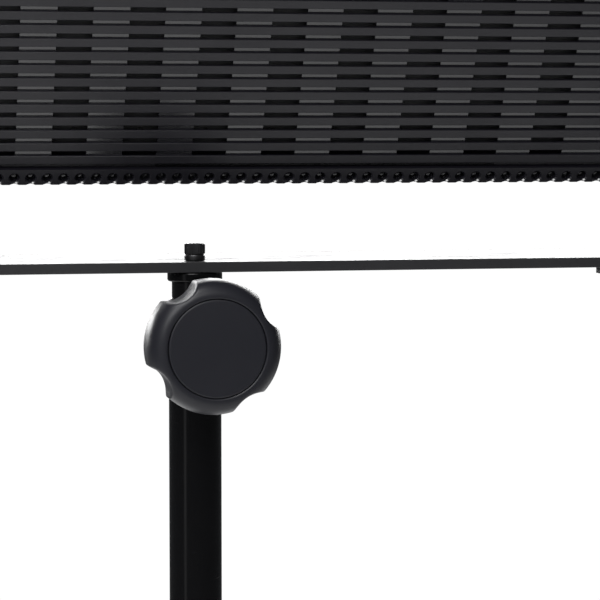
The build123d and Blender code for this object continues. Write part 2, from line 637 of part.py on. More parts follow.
save("desk_rear_shell", desk_shell())
save("desk_front_sheet", desk_sheet())
save("sheet_rivets", sheet_rivets())
save("toothed_rail", toothed_rail())
save("ledge", ledge())
save("ledge_rivets", ledge_rivets())
save("cheek_screws", cheek_screws())
for hand, sign in (("left", -1), ("right", 1)):
    save(f"side_arm_{hand}", side_arm(sign))
    save(f"end_cheek_{hand}", end_cheek(sign))
    save(f"pivot_insert_{hand}", pivot_insert(sign))
    save(f"pivot_bolt_{hand}", pivot_bolt(sign))
    save(f"friction_washer_{hand}", friction_washer(sign))
    save(f"spring_washer_{hand}", spring_washer(sign))
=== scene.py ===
import json
from math import asin, atan2, cos, hypot, pi, radians, sin, sqrt

import bmesh
import bpy
from bpy.props import FloatProperty, FloatVectorProperty, IntProperty, PointerProperty
from mathutils import Matrix, Vector

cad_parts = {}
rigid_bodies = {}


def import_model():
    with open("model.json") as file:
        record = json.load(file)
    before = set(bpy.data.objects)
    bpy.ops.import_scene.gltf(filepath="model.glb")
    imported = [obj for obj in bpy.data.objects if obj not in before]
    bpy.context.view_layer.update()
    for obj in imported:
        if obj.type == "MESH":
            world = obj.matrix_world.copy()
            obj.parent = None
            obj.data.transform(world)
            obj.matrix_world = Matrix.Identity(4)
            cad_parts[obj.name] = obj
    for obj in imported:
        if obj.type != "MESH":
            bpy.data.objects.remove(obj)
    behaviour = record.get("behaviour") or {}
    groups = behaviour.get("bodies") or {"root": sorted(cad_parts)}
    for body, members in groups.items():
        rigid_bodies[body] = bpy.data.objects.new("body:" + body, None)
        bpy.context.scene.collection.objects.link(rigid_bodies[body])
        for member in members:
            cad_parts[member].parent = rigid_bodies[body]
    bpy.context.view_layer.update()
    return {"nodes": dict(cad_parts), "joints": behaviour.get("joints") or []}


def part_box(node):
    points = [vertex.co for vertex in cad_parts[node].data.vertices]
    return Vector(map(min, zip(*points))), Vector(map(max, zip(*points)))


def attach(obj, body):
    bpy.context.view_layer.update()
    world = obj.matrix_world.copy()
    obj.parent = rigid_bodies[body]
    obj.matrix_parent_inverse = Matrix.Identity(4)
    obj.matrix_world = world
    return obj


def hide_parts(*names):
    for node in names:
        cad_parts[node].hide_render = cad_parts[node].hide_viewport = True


bl_info = {
    "name": "Music stand",
    "version": (1, 0, 0),
    "blender": (4, 5, 0),
    "location": "3D View > Sidebar > Stand",
    "description": "Models a folding music stand with a ribbed desk around its engineering frame",
    "category": "Add Mesh",
}

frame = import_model()
MM = 0.001


def corner_pair(node):
    """A node's lowest and highest corners as vectors, in metres."""
    low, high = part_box(node)
    return Vector(low), Vector(high)


JOINTS = {joint["name"]: joint for joint in frame["joints"]}
PIVOT = Vector(JOINTS["desk_tilt"]["pos_m"])
POLE_Y = PIVOT.y
PLATE_LOW, PLATE_HIGH = corner_pair("cross_plate")
KNOB_LOW, KNOB_HIGH = corner_pair("clamp_knob")
CAP_LOW, CAP_HIGH = corner_pair("clamp_knob_cap")
KNOB_Z = (KNOB_LOW.z + KNOB_HIGH.z) / 2
LEG_PLACES = {"rear": 90.0, "front_left": 210.0, "front_right": 330.0}
POLE_WALL = 1.2 * MM
STUD_CLEARANCE = 4.7 * MM
PIN_HOLE = 6.16 * MM
ARM_SCREW_HOLE = 5 * MM
ARM_SCREW_END = corner_pair("arm_screws")[1].x
ARM_SCREW_PLACES = (ARM_SCREW_END - 4.5 * MM, ARM_SCREW_END - 22.5 * MM)


# ---- settings a user would change ----
def length(label, default_mm, help_text):
    """A length setting, stored in metres."""
    return FloatProperty(name=label, description=help_text, default=default_mm * MM, min=0.0, unit="LENGTH",
                         precision=5)


def tint(label, default, help_text):
    """A colour setting."""
    return FloatVectorProperty(name=label, description=help_text, default=default, size=3, min=0.0, max=1.0,
                               subtype="COLOR")


class StandSizes(bpy.types.PropertyGroup):
    """Sizes of the visible shapes."""

    desk_lean: FloatProperty(name="Desk lean", description="Lean of the desk from upright at rest",
                             default=radians(25), subtype="ANGLE")
    ridge_pitch: length("Ridge pitch", 6.85, "Height of one ridge and one groove on the desk's back")
    groove_width: length("Groove width", 2.6, "Height of a groove on the desk's back")
    groove_depth: length("Groove depth", 1.6, "Depth of a groove on the desk's back")
    slot_pitch: length("Slot pitch", 34.5, "Distance from one slot to the next along a groove")
    slot_length: length("Slot length", 16.7, "Length of a slot")
    slot_rows: IntProperty(name="Slot rows", description="Grooves on the desk's back", default=45, min=1)
    slot_columns: IntProperty(name="Slot columns", description="Slots in a groove", default=12, min=1)
    pocket_pitch: length("Pocket pitch", 8.0, "Distance between the pockets of the bottom rail")
    pocket_width: length("Pocket width", 4.5, "Diameter of a pocket in the bottom rail")
    lobe_depth: length("Lobe depth", 4.7, "Depth of a finger scallop in the clamp knob")
    lobe_radius: length("Scallop radius", 11.7, "Radius of a finger scallop in the clamp knob")
    lobe_phase: FloatProperty(name="Scallop turn", description="Turn of the first scallop from level",
                              default=radians(31.8), subtype="ANGLE")
    knurl_count: IntProperty(name="Knurls", description="Grooves round the screw's head", default=36, min=8)


class StandColours(bpy.types.PropertyGroup):
    """Colours of the finishes."""

    powder: tint("Powder coat", (0.020, 0.020, 0.022), "Textured powder coat on the flat steel parts")
    lacquer: tint("Tube lacquer", (0.004, 0.004, 0.0045), "Gloss lacquer on the tubes")
    ribbed: tint("Desk plastic", (0.0085, 0.0078, 0.012), "Moulded plastic of the ribbed desk back")
    # Lighter than the ribbed desk plastic: the lighter colour is painted light, for the brighter groove
    # floors and the glints in the pockets; the lower roughness makes them glossy.
    polished: tint("Polished plastic", (0.016, 0.0155, 0.02), "Polished plastic in the grooves and pockets")
    knob: tint("Knob plastic", (0.0145, 0.0148, 0.0195), "Moulded plastic of the knob and fittings")
    gloss: tint("Gloss plastic", (0.003, 0.003, 0.0033), "Gloss plastic of the plug and bush")
    rubber: tint("Rubber", (0.012, 0.012, 0.012), "Rubber of the feet")
    cast: tint("Casting", (0.018, 0.018, 0.019), "Powder coat on the hub casting")


def sizes():
    return bpy.context.scene.stand_sizes


def colours():
    return bpy.context.scene.stand_colours


# ---- modelling by hand ----
def deselect():
    """Leave nothing selected, in object mode."""
    if bpy.context.object and bpy.context.object.mode != "OBJECT":
        bpy.ops.object.mode_set(mode="OBJECT")
    for obj in bpy.context.view_layer.objects:
        obj.select_set(False)


def activate(obj):
    """Make one object the only selected and active one."""
    deselect()
    obj.select_set(True)
    bpy.context.view_layer.objects.active = obj


def edit(obj, kind="FACE"):
    """Open an object for editing with nothing selected."""
    activate(obj)
    bpy.ops.object.mode_set(mode="EDIT")
    bpy.ops.mesh.select_mode(type=kind)
    bpy.ops.mesh.select_all(action="DESELECT")


def close_edit():
    bpy.ops.object.mode_set(mode="OBJECT")


def pick(obj, kind, test):
    """Select the faces, edges or verts that pass a test, and nothing else."""
    bpy.ops.mesh.select_mode(type={"faces": "FACE", "edges": "EDGE", "verts": "VERT"}[kind])
    bpy.ops.mesh.select_all(action="DESELECT")
    mesh = bmesh.from_edit_mesh(obj.data)
    chosen = [part for part in getattr(mesh, kind) if test(part)]
    if not chosen:
        raise RuntimeError(f"{obj.name}: no {kind} to select")
    for part in chosen:
        part.select_set(True)
    bmesh.update_edit_mesh(obj.data)


def middle(part):
    """The middle of an edge or a face."""
    total = Vector((0, 0, 0))
    for vert in part.verts:
        total += vert.co
    return total / len(part.verts)


def push(offset):
    """Extrude what is selected by an offset."""
    bpy.ops.mesh.extrude_region_move(TRANSFORM_OT_translate={"value": offset})


def named(name):
    """Name the object just added, and put its place in its mesh."""
    obj = bpy.context.object
    obj.name = name
    obj.data.name = name
    bpy.ops.object.transform_apply(location=True, rotation=True, scale=True)
    return obj


def add_block(name, low, high):
    """A box between two corners."""
    deselect()
    low = Vector(low)
    high = Vector(high)
    bpy.ops.mesh.primitive_cube_add(size=1, location=(low + high) / 2)
    bpy.context.object.scale = high - low
    return named(name)


def add_panel(name, low, high):
    """A flat panel facing -Y between two corners that share their y."""
    deselect()
    low = Vector(low)
    high = Vector(high)
    bpy.ops.mesh.primitive_plane_add(size=1, location=(low + high) / 2, rotation=(pi / 2, 0, 0))
    bpy.context.object.scale = (high.x - low.x, high.z - low.z, 1)
    return named(name)


def cut_lines(obj, axis, places):
    """Bisect a whole mesh at each place along an axis."""
    normal = Vector((0, 0, 0))
    normal[axis] = 1
    for place in places:
        bpy.ops.mesh.select_all(action="SELECT")
        bpy.ops.mesh.bisect(plane_co=normal * place, plane_no=normal)


def lathe(name, profile, segments=64):
    """Turn a (radius, height) profile about Z: a circle, extruded and resized step by step.
    A radius of zero at an end closes it, and a profile that ends where it began makes a ring."""
    tiny = 1e-5
    steps = [(max(radius, tiny), height) for radius, height in profile]
    deselect()
    bpy.ops.mesh.primitive_circle_add(vertices=segments, radius=steps[0][0], location=(0, 0, steps[0][1]))
    obj = named(name)
    edit(obj, "EDGE")
    bpy.ops.mesh.select_all(action="SELECT")
    for (r_from, z_from), (r_to, z_to) in zip(steps, steps[1:]):
        push((0, 0, z_to - z_from))
        ratio = r_to / r_from
        bpy.ops.transform.resize(value=(ratio, ratio, 1), center_override=(0, 0, z_to))
    ends = [height for radius, height in (steps[0], steps[-1]) if radius <= tiny]
    for height in ends:
        pick(obj, "verts", lambda v: abs(v.co.z - height) < tiny and hypot(v.co.x, v.co.y) < 2 * tiny)
        bpy.ops.mesh.merge(type="CENTER")
    bpy.ops.mesh.select_all(action="SELECT")
    bpy.ops.mesh.remove_doubles(threshold=2e-6)
    bpy.ops.mesh.normals_make_consistent(inside=False)
    close_edit()
    return obj


def bar(name, radius, low, high, segments=64):
    """A round bar along Z."""
    return lathe(name, [(0, low), (radius, low), (radius, high), (0, high)], segments)


def reshape(obj, scale_at):
    """Scale each point of a turned piece about Z, by a factor from its radius, angle and height."""
    for vert in obj.data.vertices:
        factor = scale_at(hypot(vert.co.x, vert.co.y), atan2(vert.co.y, vert.co.x), vert.co.z)
        vert.co.x *= factor
        vert.co.y *= factor


def hexagon_factor(angle, stretch):
    """How much further a hexagon's side is than its flats at an angle, times a stretch."""
    corner = (angle + pi / 6) % (pi / 3) - pi / 6
    return cos(pi / 6) / cos(corner) * stretch


def place(obj, matrix):
    """Move a piece, leaving its place in its mesh."""
    activate(obj)
    obj.matrix_world = matrix
    bpy.ops.object.transform_apply(location=True, rotation=True, scale=True)
    return obj


def modifier(obj, kind, **settings):
    """Add a modifier and apply it."""
    activate(obj)
    added = obj.modifiers.new(kind.lower(), kind)
    for key, value in settings.items():
        setattr(added, key, value)
    bpy.ops.object.modifier_apply(modifier=added.name)


def soften(obj, width, segments=2, angle=38):
    """Round the sharp edges of a piece."""
    modifier(obj, "BEVEL", width=width, segments=segments, limit_method="ANGLE", angle_limit=radians(angle),
             harden_normals=False, use_clamp_overlap=True)


def smooth(obj, angle=35):
    """Smooth-shade a piece, and let its large flat faces stay flat beside their rounded edges."""
    activate(obj)
    bpy.ops.object.shade_smooth_by_angle(angle=radians(angle), keep_sharp_edges=False)
    modifier(obj, "WEIGHTED_NORMAL", keep_sharp=True, weight=80)


def copy_piece(obj, name):
    """A copy with its own mesh."""
    twin = obj.copy()
    twin.data = obj.data.copy()
    twin.name = name
    twin.data.name = name
    bpy.context.scene.collection.objects.link(twin)
    return twin


def mirrored(obj, name):
    """A copy mirrored across the stand's middle, with its faces turned back outwards."""
    twin = place(copy_piece(obj, name), Matrix.Diagonal((-1, 1, 1, 1)))
    edit(twin)
    bpy.ops.mesh.select_all(action="SELECT")
    bpy.ops.mesh.normals_make_consistent(inside=False)
    close_edit()
    return twin


def carve(obj, cutters, operation="DIFFERENCE"):
    """Cut other pieces out of this one, or join them to it, and throw them away."""
    for cutter in cutters:
        modifier(obj, "BOOLEAN", object=cutter, operation=operation, solver="EXACT")
        bpy.data.objects.remove(cutter)


def row_of(obj, count, step):
    """Repeat a piece in a row."""
    modifier(obj, "ARRAY", count=count, use_relative_offset=False, use_constant_offset=True,
             constant_offset_displace=step)


def two_finishes(obj, first, second, test):
    """Paint a piece with one finish, and the faces that pass a test with another."""
    obj.data.materials.append(FINISHES[first])
    obj.data.materials.append(FINISHES[second])
    edit(obj)
    pick(obj, "faces", test)
    obj.active_material_index = 1
    bpy.ops.object.material_slot_assign()
    close_edit()


def hand_over(obj, finish_name, body, node, smooth_angle=35):
    """Finish a piece: smooth it, paint it, and let it stand for its CAD node."""
    smooth(obj, smooth_angle)
    if not obj.data.materials:
        obj.data.materials.append(FINISHES[finish_name])
    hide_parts(node)
    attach(obj, body)


def hand_over_pair(right, finish_name, body, node):
    """Hand over a right-hand piece and its mirror image, given the start of their nodes' names."""
    left = mirrored(right, right.name.replace("right", "left"))
    hand_over(right, finish_name, body, f"{node}_right")
    hand_over(left, finish_name, body, f"{node}_left")


def aim(direction, at=(0, 0, 0), turn=0.0):
    """A matrix that takes +Z to a direction and the origin to a place."""
    facing = Vector(direction).to_track_quat("Z", "Y").to_matrix().to_4x4()
    return Matrix.Translation(at) @ facing @ Matrix.Rotation(turn, 4, "Z")


def desk_matrix():
    """From a piece drawn upright about the pivot to the leaning desk."""
    return Matrix.Translation(PIVOT) @ Matrix.Rotation(sizes().desk_lean, 4, "X")


# ---- finishes ----
FINISHES = {}


def new_group(name, inputs, outputs):
    """An empty shader node group with its sockets."""
    group = bpy.data.node_groups.new(name, "ShaderNodeTree")
    for label, kind, default in inputs:
        socket = group.interface.new_socket(name=label, in_out="INPUT", socket_type=kind)
        socket.default_value = default
    for label, kind in outputs:
        group.interface.new_socket(name=label, in_out="OUTPUT", socket_type=kind)
    return group


def add_node(tree, kind, **values):
    """A shader node: a capitalised name sets one of its sockets, any other name one of its settings."""
    node = tree.nodes.new("ShaderNode" + kind)
    for key, value in values.items():
        if key[0].isupper():
            node.inputs[key.replace("_", " ")].default_value = value
        else:
            setattr(node, key, value)
    return node


def surface_group():
    """Grain, mottling and faint rubbed patches, in the object's own space."""
    group = new_group(
        "coated_surface",
        [("Base", "NodeSocketColor", (0.02, 0.02, 0.02, 1)),
         ("Rubbed", "NodeSocketColor", (0.1, 0.1, 0.1, 1)),
         ("Grain Scale", "NodeSocketFloat", 1500.0), ("Mottle Scale", "NodeSocketFloat", 30.0),
         ("Mottle", "NodeSocketFloat", 0.15), ("Rub", "NodeSocketFloat", 0.05),
         ("Rough Low", "NodeSocketFloat", 0.35), ("Rough High", "NodeSocketFloat", 0.5)],
        [("Color", "NodeSocketColor"), ("Roughness", "NodeSocketFloat"), ("Height", "NodeSocketFloat")])
    link = group.links.new
    given = group.nodes.new("NodeGroupInput")
    out = group.nodes.new("NodeGroupOutput")
    coords = add_node(group, "TexCoord")
    grain = add_node(group, "TexNoise", Detail=3.0)
    mottle = add_node(group, "TexNoise", Detail=5.0)
    rub = add_node(group, "TexNoise", Scale=75.0, Detail=8.0, Roughness=0.7)
    rub_mask = add_node(group, "MapRange", From_Min=0.58, From_Max=0.72)
    spread = add_node(group, "MapRange", From_Min=0.3, From_Max=0.7)
    shade = add_node(group, "Math", operation="MULTIPLY")
    darker = add_node(group, "Mix", data_type="RGBA", blend_type="MULTIPLY")
    darker.inputs[7].default_value = (0.35, 0.35, 0.37, 1)
    worn = add_node(group, "Mix", data_type="RGBA")
    for texture in (grain, mottle, rub):
        link(coords.outputs["Object"], texture.inputs["Vector"])
    link(given.outputs["Grain Scale"], grain.inputs["Scale"])
    link(given.outputs["Mottle Scale"], mottle.inputs["Scale"])
    link(rub.outputs["Fac"], rub_mask.inputs["Value"])
    link(given.outputs["Rub"], rub_mask.inputs["To Max"])
    link(mottle.outputs["Fac"], spread.inputs["Value"])
    link(given.outputs["Rough Low"], spread.inputs["To Min"])
    link(given.outputs["Rough High"], spread.inputs["To Max"])
    link(spread.outputs["Result"], out.inputs["Roughness"])
    link(mottle.outputs["Fac"], shade.inputs[0])
    link(given.outputs["Mottle"], shade.inputs[1])
    link(shade.outputs["Value"], darker.inputs["Factor"])
    link(given.outputs["Base"], darker.inputs[6])
    link(rub_mask.outputs["Result"], worn.inputs["Factor"])
    link(darker.outputs[2], worn.inputs[6])
    link(given.outputs["Rubbed"], worn.inputs[7])
    link(worn.outputs[2], out.inputs["Color"])
    link(grain.outputs["Fac"], out.inputs["Height"])
    return group


def scratch_group():
    """Long fine scratches, as a mask."""
    group = new_group("fine_scratches",
                      [("Scale", "NodeSocketFloat", 60.0), ("Amount", "NodeSocketFloat", 0.2)],
                      [("Mask", "NodeSocketFloat")])
    link = group.links.new
    given = group.nodes.new("NodeGroupInput")
    out = group.nodes.new("NodeGroupOutput")
    coords = add_node(group, "TexCoord")
    stretch = add_node(group, "Mapping", Scale=(1.0, 1.0, 14.0), Rotation=(0.35, 0.2, 0.5))
    lines = add_node(group, "TexNoise", Detail=6.0)
    sharp = add_node(group, "MapRange", From_Min=0.66, From_Max=0.74)
    link(coords.outputs["Object"], stretch.inputs["Vector"])
    link(stretch.outputs["Vector"], lines.inputs["Vector"])
    link(given.outputs["Scale"], lines.inputs["Scale"])
    link(lines.outputs["Fac"], sharp.inputs["Value"])
    link(given.outputs["Amount"], sharp.inputs["To Max"])
    link(sharp.outputs["Result"], out.inputs["Mask"])
    return group


def make_finish(name, base, rubbed, rough, grain, bump, mottle=0.15, rub=0.04, metallic=0.0, coat=0.0,
                specular=0.5, scratches=0.0, mottle_scale=30.0):
    """A finish: rough is its low and high roughness, grain its detail per metre, bump its height in mm."""
    material = bpy.data.materials.new(name)
    material.use_nodes = True
    material.diffuse_color = (*base, 1)
    tree = material.node_tree
    link = tree.links.new
    shader = tree.nodes["Principled BSDF"]
    surface = add_node(tree, "Group", node_tree=bpy.data.node_groups["coated_surface"])
    values = {"Base": (*base, 1), "Rubbed": (*rubbed, 1), "Grain Scale": grain, "Mottle Scale": mottle_scale,
              "Mottle": mottle, "Rub": rub, "Rough Low": rough[0], "Rough High": rough[1]}
    for label, value in values.items():
        surface.inputs[label].default_value = value
    link(surface.outputs["Color"], shader.inputs["Base Color"])
    roughness = surface.outputs["Roughness"]
    if scratches:
        marks = add_node(tree, "Group", node_tree=bpy.data.node_groups["fine_scratches"], Amount=scratches)
        total = add_node(tree, "Math", operation="ADD", use_clamp=True)
        link(roughness, total.inputs[0])
        link(marks.outputs["Mask"], total.inputs[1])
        roughness = total.outputs["Value"]
    link(roughness, shader.inputs["Roughness"])
    relief = add_node(tree, "Bump", Strength=1.0, Distance=bump * MM)
    link(surface.outputs["Height"], relief.inputs["Height"])
    link(relief.outputs["Normal"], shader.inputs["Normal"])
    shader.inputs["Metallic"].default_value = metallic
    shader.inputs["Specular IOR Level"].default_value = specular
    shader.inputs["Coat Weight"].default_value = coat
    shader.inputs["Coat Roughness"].default_value = 0.08
    FINISHES[name] = material


class STAND_OT_finishes(bpy.types.Operator):
    """Mix the finishes: powder coat, lacquer, plastics, metals and rubber"""

    bl_idname = "stand.finishes"
    bl_label = "Mix the finishes"

    def execute(self, context):
        shade = colours()
        surface_group()
        scratch_group()
        make_finish("powder_coat", shade.powder, (0.07, 0.07, 0.075), (0.42, 0.56), 1400, 0.05,
                    scratches=0.1)
        make_finish("cast_coat", shade.cast, (0.06, 0.06, 0.06), (0.48, 0.62), 900, 0.09)
        make_finish("tube_lacquer", shade.lacquer, (0.02, 0.02, 0.02), (0.13, 0.19), 500, 0.003, specular=0.3,
                    scratches=0.12)
        make_finish("desk_plastic", shade.ribbed, (0.05, 0.05, 0.055), (0.34, 0.42), 2200, 0.012)
        # Painted light: a lighter copy of the desk plastic, whose lighter colour is a painted reflection on
        # the groove floors and a painted glint in the pockets; its low roughness and high specular make it
        # glossy.
        make_finish("desk_polished", shade.polished, (0.04, 0.04, 0.045), (0.14, 0.22), 300, 0.002,
                    specular=1.0)
        make_finish("knob_plastic", shade.knob, (0.05, 0.05, 0.055), (0.38, 0.44), 2600, 0.012, mottle=0.1,
                    specular=0.35)
        make_finish("gloss_plastic", shade.gloss, (0.03, 0.03, 0.03), (0.14, 0.2), 400, 0.002, specular=0.25)
        make_finish("black_oxide", (0.075, 0.075, 0.078), (0.42, 0.42, 0.41), (0.24, 0.42), 1800, 0.02,
                    rub=0.5, metallic=0.9, mottle_scale=160)
        make_finish("zinc_plate", (0.60, 0.60, 0.585), (0.34, 0.34, 0.31), (0.20, 0.38), 1200, 0.006, rub=0.3,
                    metallic=1.0, mottle_scale=120)
        make_finish("turned_brass", (0.66, 0.46, 0.19), (0.38, 0.25, 0.10), (0.22, 0.36), 1200, 0.006,
                    rub=0.4, metallic=1.0, mottle_scale=90)
        make_finish("nylon", (0.50, 0.49, 0.45), (0.36, 0.35, 0.32), (0.40, 0.55), 900, 0.02, rub=0.2)
        make_finish("foot_rubber", shade.rubber, (0.055, 0.055, 0.052), (0.62, 0.80), 1100, 0.06, rub=0.2)
        return {"FINISHED"}


# ---- clamp knob and cap ----
def soft_min(a, b, blend):
    """The smaller of two lengths, with a rounded change between them."""
    share = max(0.0, min(1.0, 0.5 + 0.5 * (b - a) / blend))
    return b + (a - b) * share - blend * share * (1 - share)


def lobed_limit(angle, rim):
    """How far the knob reaches at an angle, given its rim and its four scallops."""
    setting = sizes()
    far = rim - setting.lobe_depth + setting.lobe_radius
    quarter = pi / 2
    off = (angle - setting.lobe_phase + quarter / 2) % quarter - quarter / 2
    widest = asin(setting.lobe_radius / far)
    if abs(off) >= widest:
        edge = far * cos(widest)
        return edge + (abs(off) - widest) * 0.12
    return far * cos(off) - sqrt(setting.lobe_radius ** 2 - (far * sin(off)) ** 2)


class STAND_OT_knob(bpy.types.Operator):
    """Turn the clamp knob, scallop its rim and add its cap"""

    bl_idname = "stand.knob"
    bl_label = "Clamp knob"

    def execute(self, context):
        rim = (KNOB_HIGH.x - KNOB_LOW.x) / 2
        depth = KNOB_HIGH.y - KNOB_LOW.y
        seat = (CAP_HIGH.x - CAP_LOW.x) / 2 + 0.25 * MM
        centre = Vector((0, 0, KNOB_Z))
        # The profile runs from the back's middle, round the rim, over the crown and into the cap's seat.
        wall_back = 3.2 * MM
        crown_start = depth - 11.2 * MM
        lip = seat + 1.0 * MM
        profile = [(0, 0), (10 * MM, 0), (20 * MM, 0.0), (26.5 * MM, 0.0), (rim - 2.2 * MM, 0.5 * MM),
                   (rim - 0.9 * MM, 1.4 * MM), (rim - 0.25 * MM, 2.3 * MM), (rim, wall_back)]
        wall_steps = 6
        for i in range(1, wall_steps + 1):
            profile.append((rim, wall_back + (crown_start - wall_back) * i / wall_steps))
        crown_steps = 16
        for i in range(1, crown_steps + 1):
            turn = pi / 2 * i / crown_steps
            profile.append((lip + (rim - lip) * cos(turn) ** 0.92,
                            crown_start + (depth - crown_start) * sin(turn)))
        profile += [(seat + 0.45 * MM, depth - 0.05 * MM), (seat + 0.1 * MM, depth - 0.35 * MM),
                    (seat, depth - 0.9 * MM), (seat, depth - 1.9 * MM), (12 * MM, depth - 1.9 * MM),
                    (0, depth - 1.9 * MM)]
        knob = lathe("clamp_knob_body", profile, 360)

        def scalloped(reach, angle, height):
            if reach < seat + 0.6 * MM:
                return 1.0
            kept = soft_min(reach, lobed_limit(angle, rim), 1.8 * MM)
            return min(reach, kept) / reach

        reshape(knob, scalloped)
        place(knob, aim((0, -1, 0), centre + Vector((0, KNOB_HIGH.y, 0))))
        hand_over(knob, "knob_plastic", "knob", "clamp_knob", smooth_angle=50)

        radius = (CAP_HIGH.x - CAP_LOW.x) / 2
        face = 2.2 * MM
        cap_profile = [(0, 0), (radius - 0.3 * MM, 0), (radius, 0.3 * MM), (radius, face - 0.55 * MM),
                       (radius - 0.16 * MM, face - 0.2 * MM), (radius - 0.5 * MM, face - 0.03 * MM),
                       (radius - 1.0 * MM, face), (radius * 0.7, face), (radius * 0.4, face), (0, face)]
        cap = lathe("clamp_knob_disc", cap_profile, 192)
        place(cap, aim((0, -1, 0), centre + Vector((0, CAP_LOW.y + face, 0))))
        hand_over(cap, "knob_plastic", "knob", "clamp_knob_cap")
        return {"FINISHED"}


# ---- pole, collar and plug ----
def upright(obj, z=0.0):
    """Stand a piece drawn about Z on the pole's axis."""
    return place(obj, Matrix.Translation((0, POLE_Y, z)))


def tube_profile(outer, bore, low, high, chamfer):
    """A tube's section with chamfered ends, closed on itself."""
    return [(bore, low + chamfer), (bore + chamfer, low), (outer - chamfer, low), (outer, low + chamfer),
            (outer, high - chamfer), (outer - chamfer, high), (bore + chamfer, high), (bore, high - chamfer),
            (bore, low + chamfer)]


class STAND_OT_pole(bpy.types.Operator):
    """Draw the outer tube, the inner tube and the bush between them"""

    bl_idname = "stand.pole"
    bl_label = "Pole tubes"

    def execute(self, context):
        low, high = corner_pair("outer_tube")
        outer = (high.x - low.x) / 2
        tube = lathe("lower_tube", tube_profile(outer, outer - POLE_WALL, low.z, high.z, 0.3 * MM), 96)
        upright(tube)
        stud_hole = bar("stud_hole", STUD_CLEARANCE, 0, 30 * MM, 32)
        place(stud_hole, aim((0, -1, 0), (0, POLE_Y, KNOB_Z)))
        carve(tube, [stud_hole])
        hand_over(tube, "tube_lacquer", "base", "outer_tube")

        low, high = corner_pair("inner_tube")
        outer = (high.x - low.x) / 2
        tube = lathe("sliding_tube", tube_profile(outer, outer - POLE_WALL, low.z, high.z, 0.3 * MM), 96)
        upright(tube)
        hand_over(tube, "tube_lacquer", "head", "inner_tube")

        low, high = corner_pair("neck_bush")
        rim = (high.x - low.x) / 2
        bore = outer + 0.08 * MM
        liner = rim - POLE_WALL
        seat = high.z - 1.5 * MM
        profile = [(bore, low.z), (liner - 0.2 * MM, low.z), (liner, low.z + 0.3 * MM), (liner, seat),
                   (rim, seat), (rim, high.z - 0.7 * MM), (rim - 0.2 * MM, high.z - 0.2 * MM),
                   (rim - 0.7 * MM, high.z),
                   (bore + 0.4 * MM, high.z), (bore, high.z - 0.4 * MM), (bore, low.z)]
        bush = upright(lathe("pole_neck_bush", profile, 96))
        hand_over(bush, "gloss_plastic", "base", "neck_bush")
        return {"FINISHED"}


class STAND_OT_collar(bpy.types.Operator):
    """Mould the clamp collar, with its boss and ribs"""

    bl_idname = "stand.collar"
    bl_label = "Clamp collar"

    def execute(self, context):
        low, high = corner_pair("clamp_collar")
        outer = high.x
        bore = 12.7 * MM
        ring = [(bore, low.z), (outer - 1.2 * MM, low.z), (outer - 0.35 * MM, low.z + 0.35 * MM),
                (outer, low.z + 1.2 * MM), (outer, low.z + 5 * MM), (outer - 0.7 * MM, low.z + 5.7 * MM),
                (outer - 0.7 * MM, high.z - 5.7 * MM), (outer, high.z - 5 * MM), (outer, high.z - 1.2 * MM),
                (outer - 0.35 * MM, high.z - 0.35 * MM), (outer - 1.2 * MM, high.z), (bore, high.z),
                (bore, low.z)]
        collar = upright(lathe("pole_clamp_collar", ring, 96))
        reach = POLE_Y - low.y
        boss_r = 9.5 * MM
        base = 13.2 * MM
        socket = reach - 12.9 * MM
        boss = lathe("collar_boss", [(0, base), (boss_r + 1.5 * MM, base), (boss_r + 0.6 * MM, 15 * MM),
                                     (boss_r, 17 * MM), (boss_r, reach - 0.9 * MM),
                                     (boss_r - 0.9 * MM, reach),
                                     (6.5 * MM, reach), (6.5 * MM, socket), (STUD_CLEARANCE, socket),
                                     (STUD_CLEARANCE, base + 0.05 * MM), (0, base + 0.05 * MM)], 64)
        facing_the_knob = aim((0, -1, 0), (0, POLE_Y, KNOB_Z))
        place(boss, facing_the_knob)
        carve(collar, [boss], "UNION")
        carve(collar, [place(bar("stud_passage", STUD_CLEARANCE, 0, 20 * MM, 32), facing_the_knob)])
        hand_over(collar, "knob_plastic", "base", "clamp_collar")
        return {"FINISHED"}


class STAND_OT_plug(bpy.types.Operator):
    """Turn the flanged plug that closes the inner tube"""

    bl_idname = "stand.plug"
    bl_label = "Flanged plug"

    def execute(self, context):
        low, high = corner_pair("flanged_plug")
        tube_high = corner_pair("inner_tube")[1]
        rim = high.x
        spigot = tube_high.x - POLE_WALL
        seat = tube_high.z
        bore = 3.0 * MM
        profile = [(bore, low.z), (spigot - 1 * MM, low.z), (spigot, low.z + 1 * MM), (spigot, seat),
                   (rim - 1.1 * MM, seat), (rim - 0.35 * MM, seat + 0.3 * MM), (rim, seat + 1.0 * MM),
                   (rim, high.z - 1.0 * MM), (rim - 0.3 * MM, high.z - 0.35 * MM), (rim - 0.9 * MM, high.z),
                   (bore, high.z), (bore, low.z)]
        plug = upright(lathe("tube_flanged_plug", profile, 128))
        hand_over(plug, "gloss_plastic", "head", "flanged_plug")
        return {"FINISHED"}


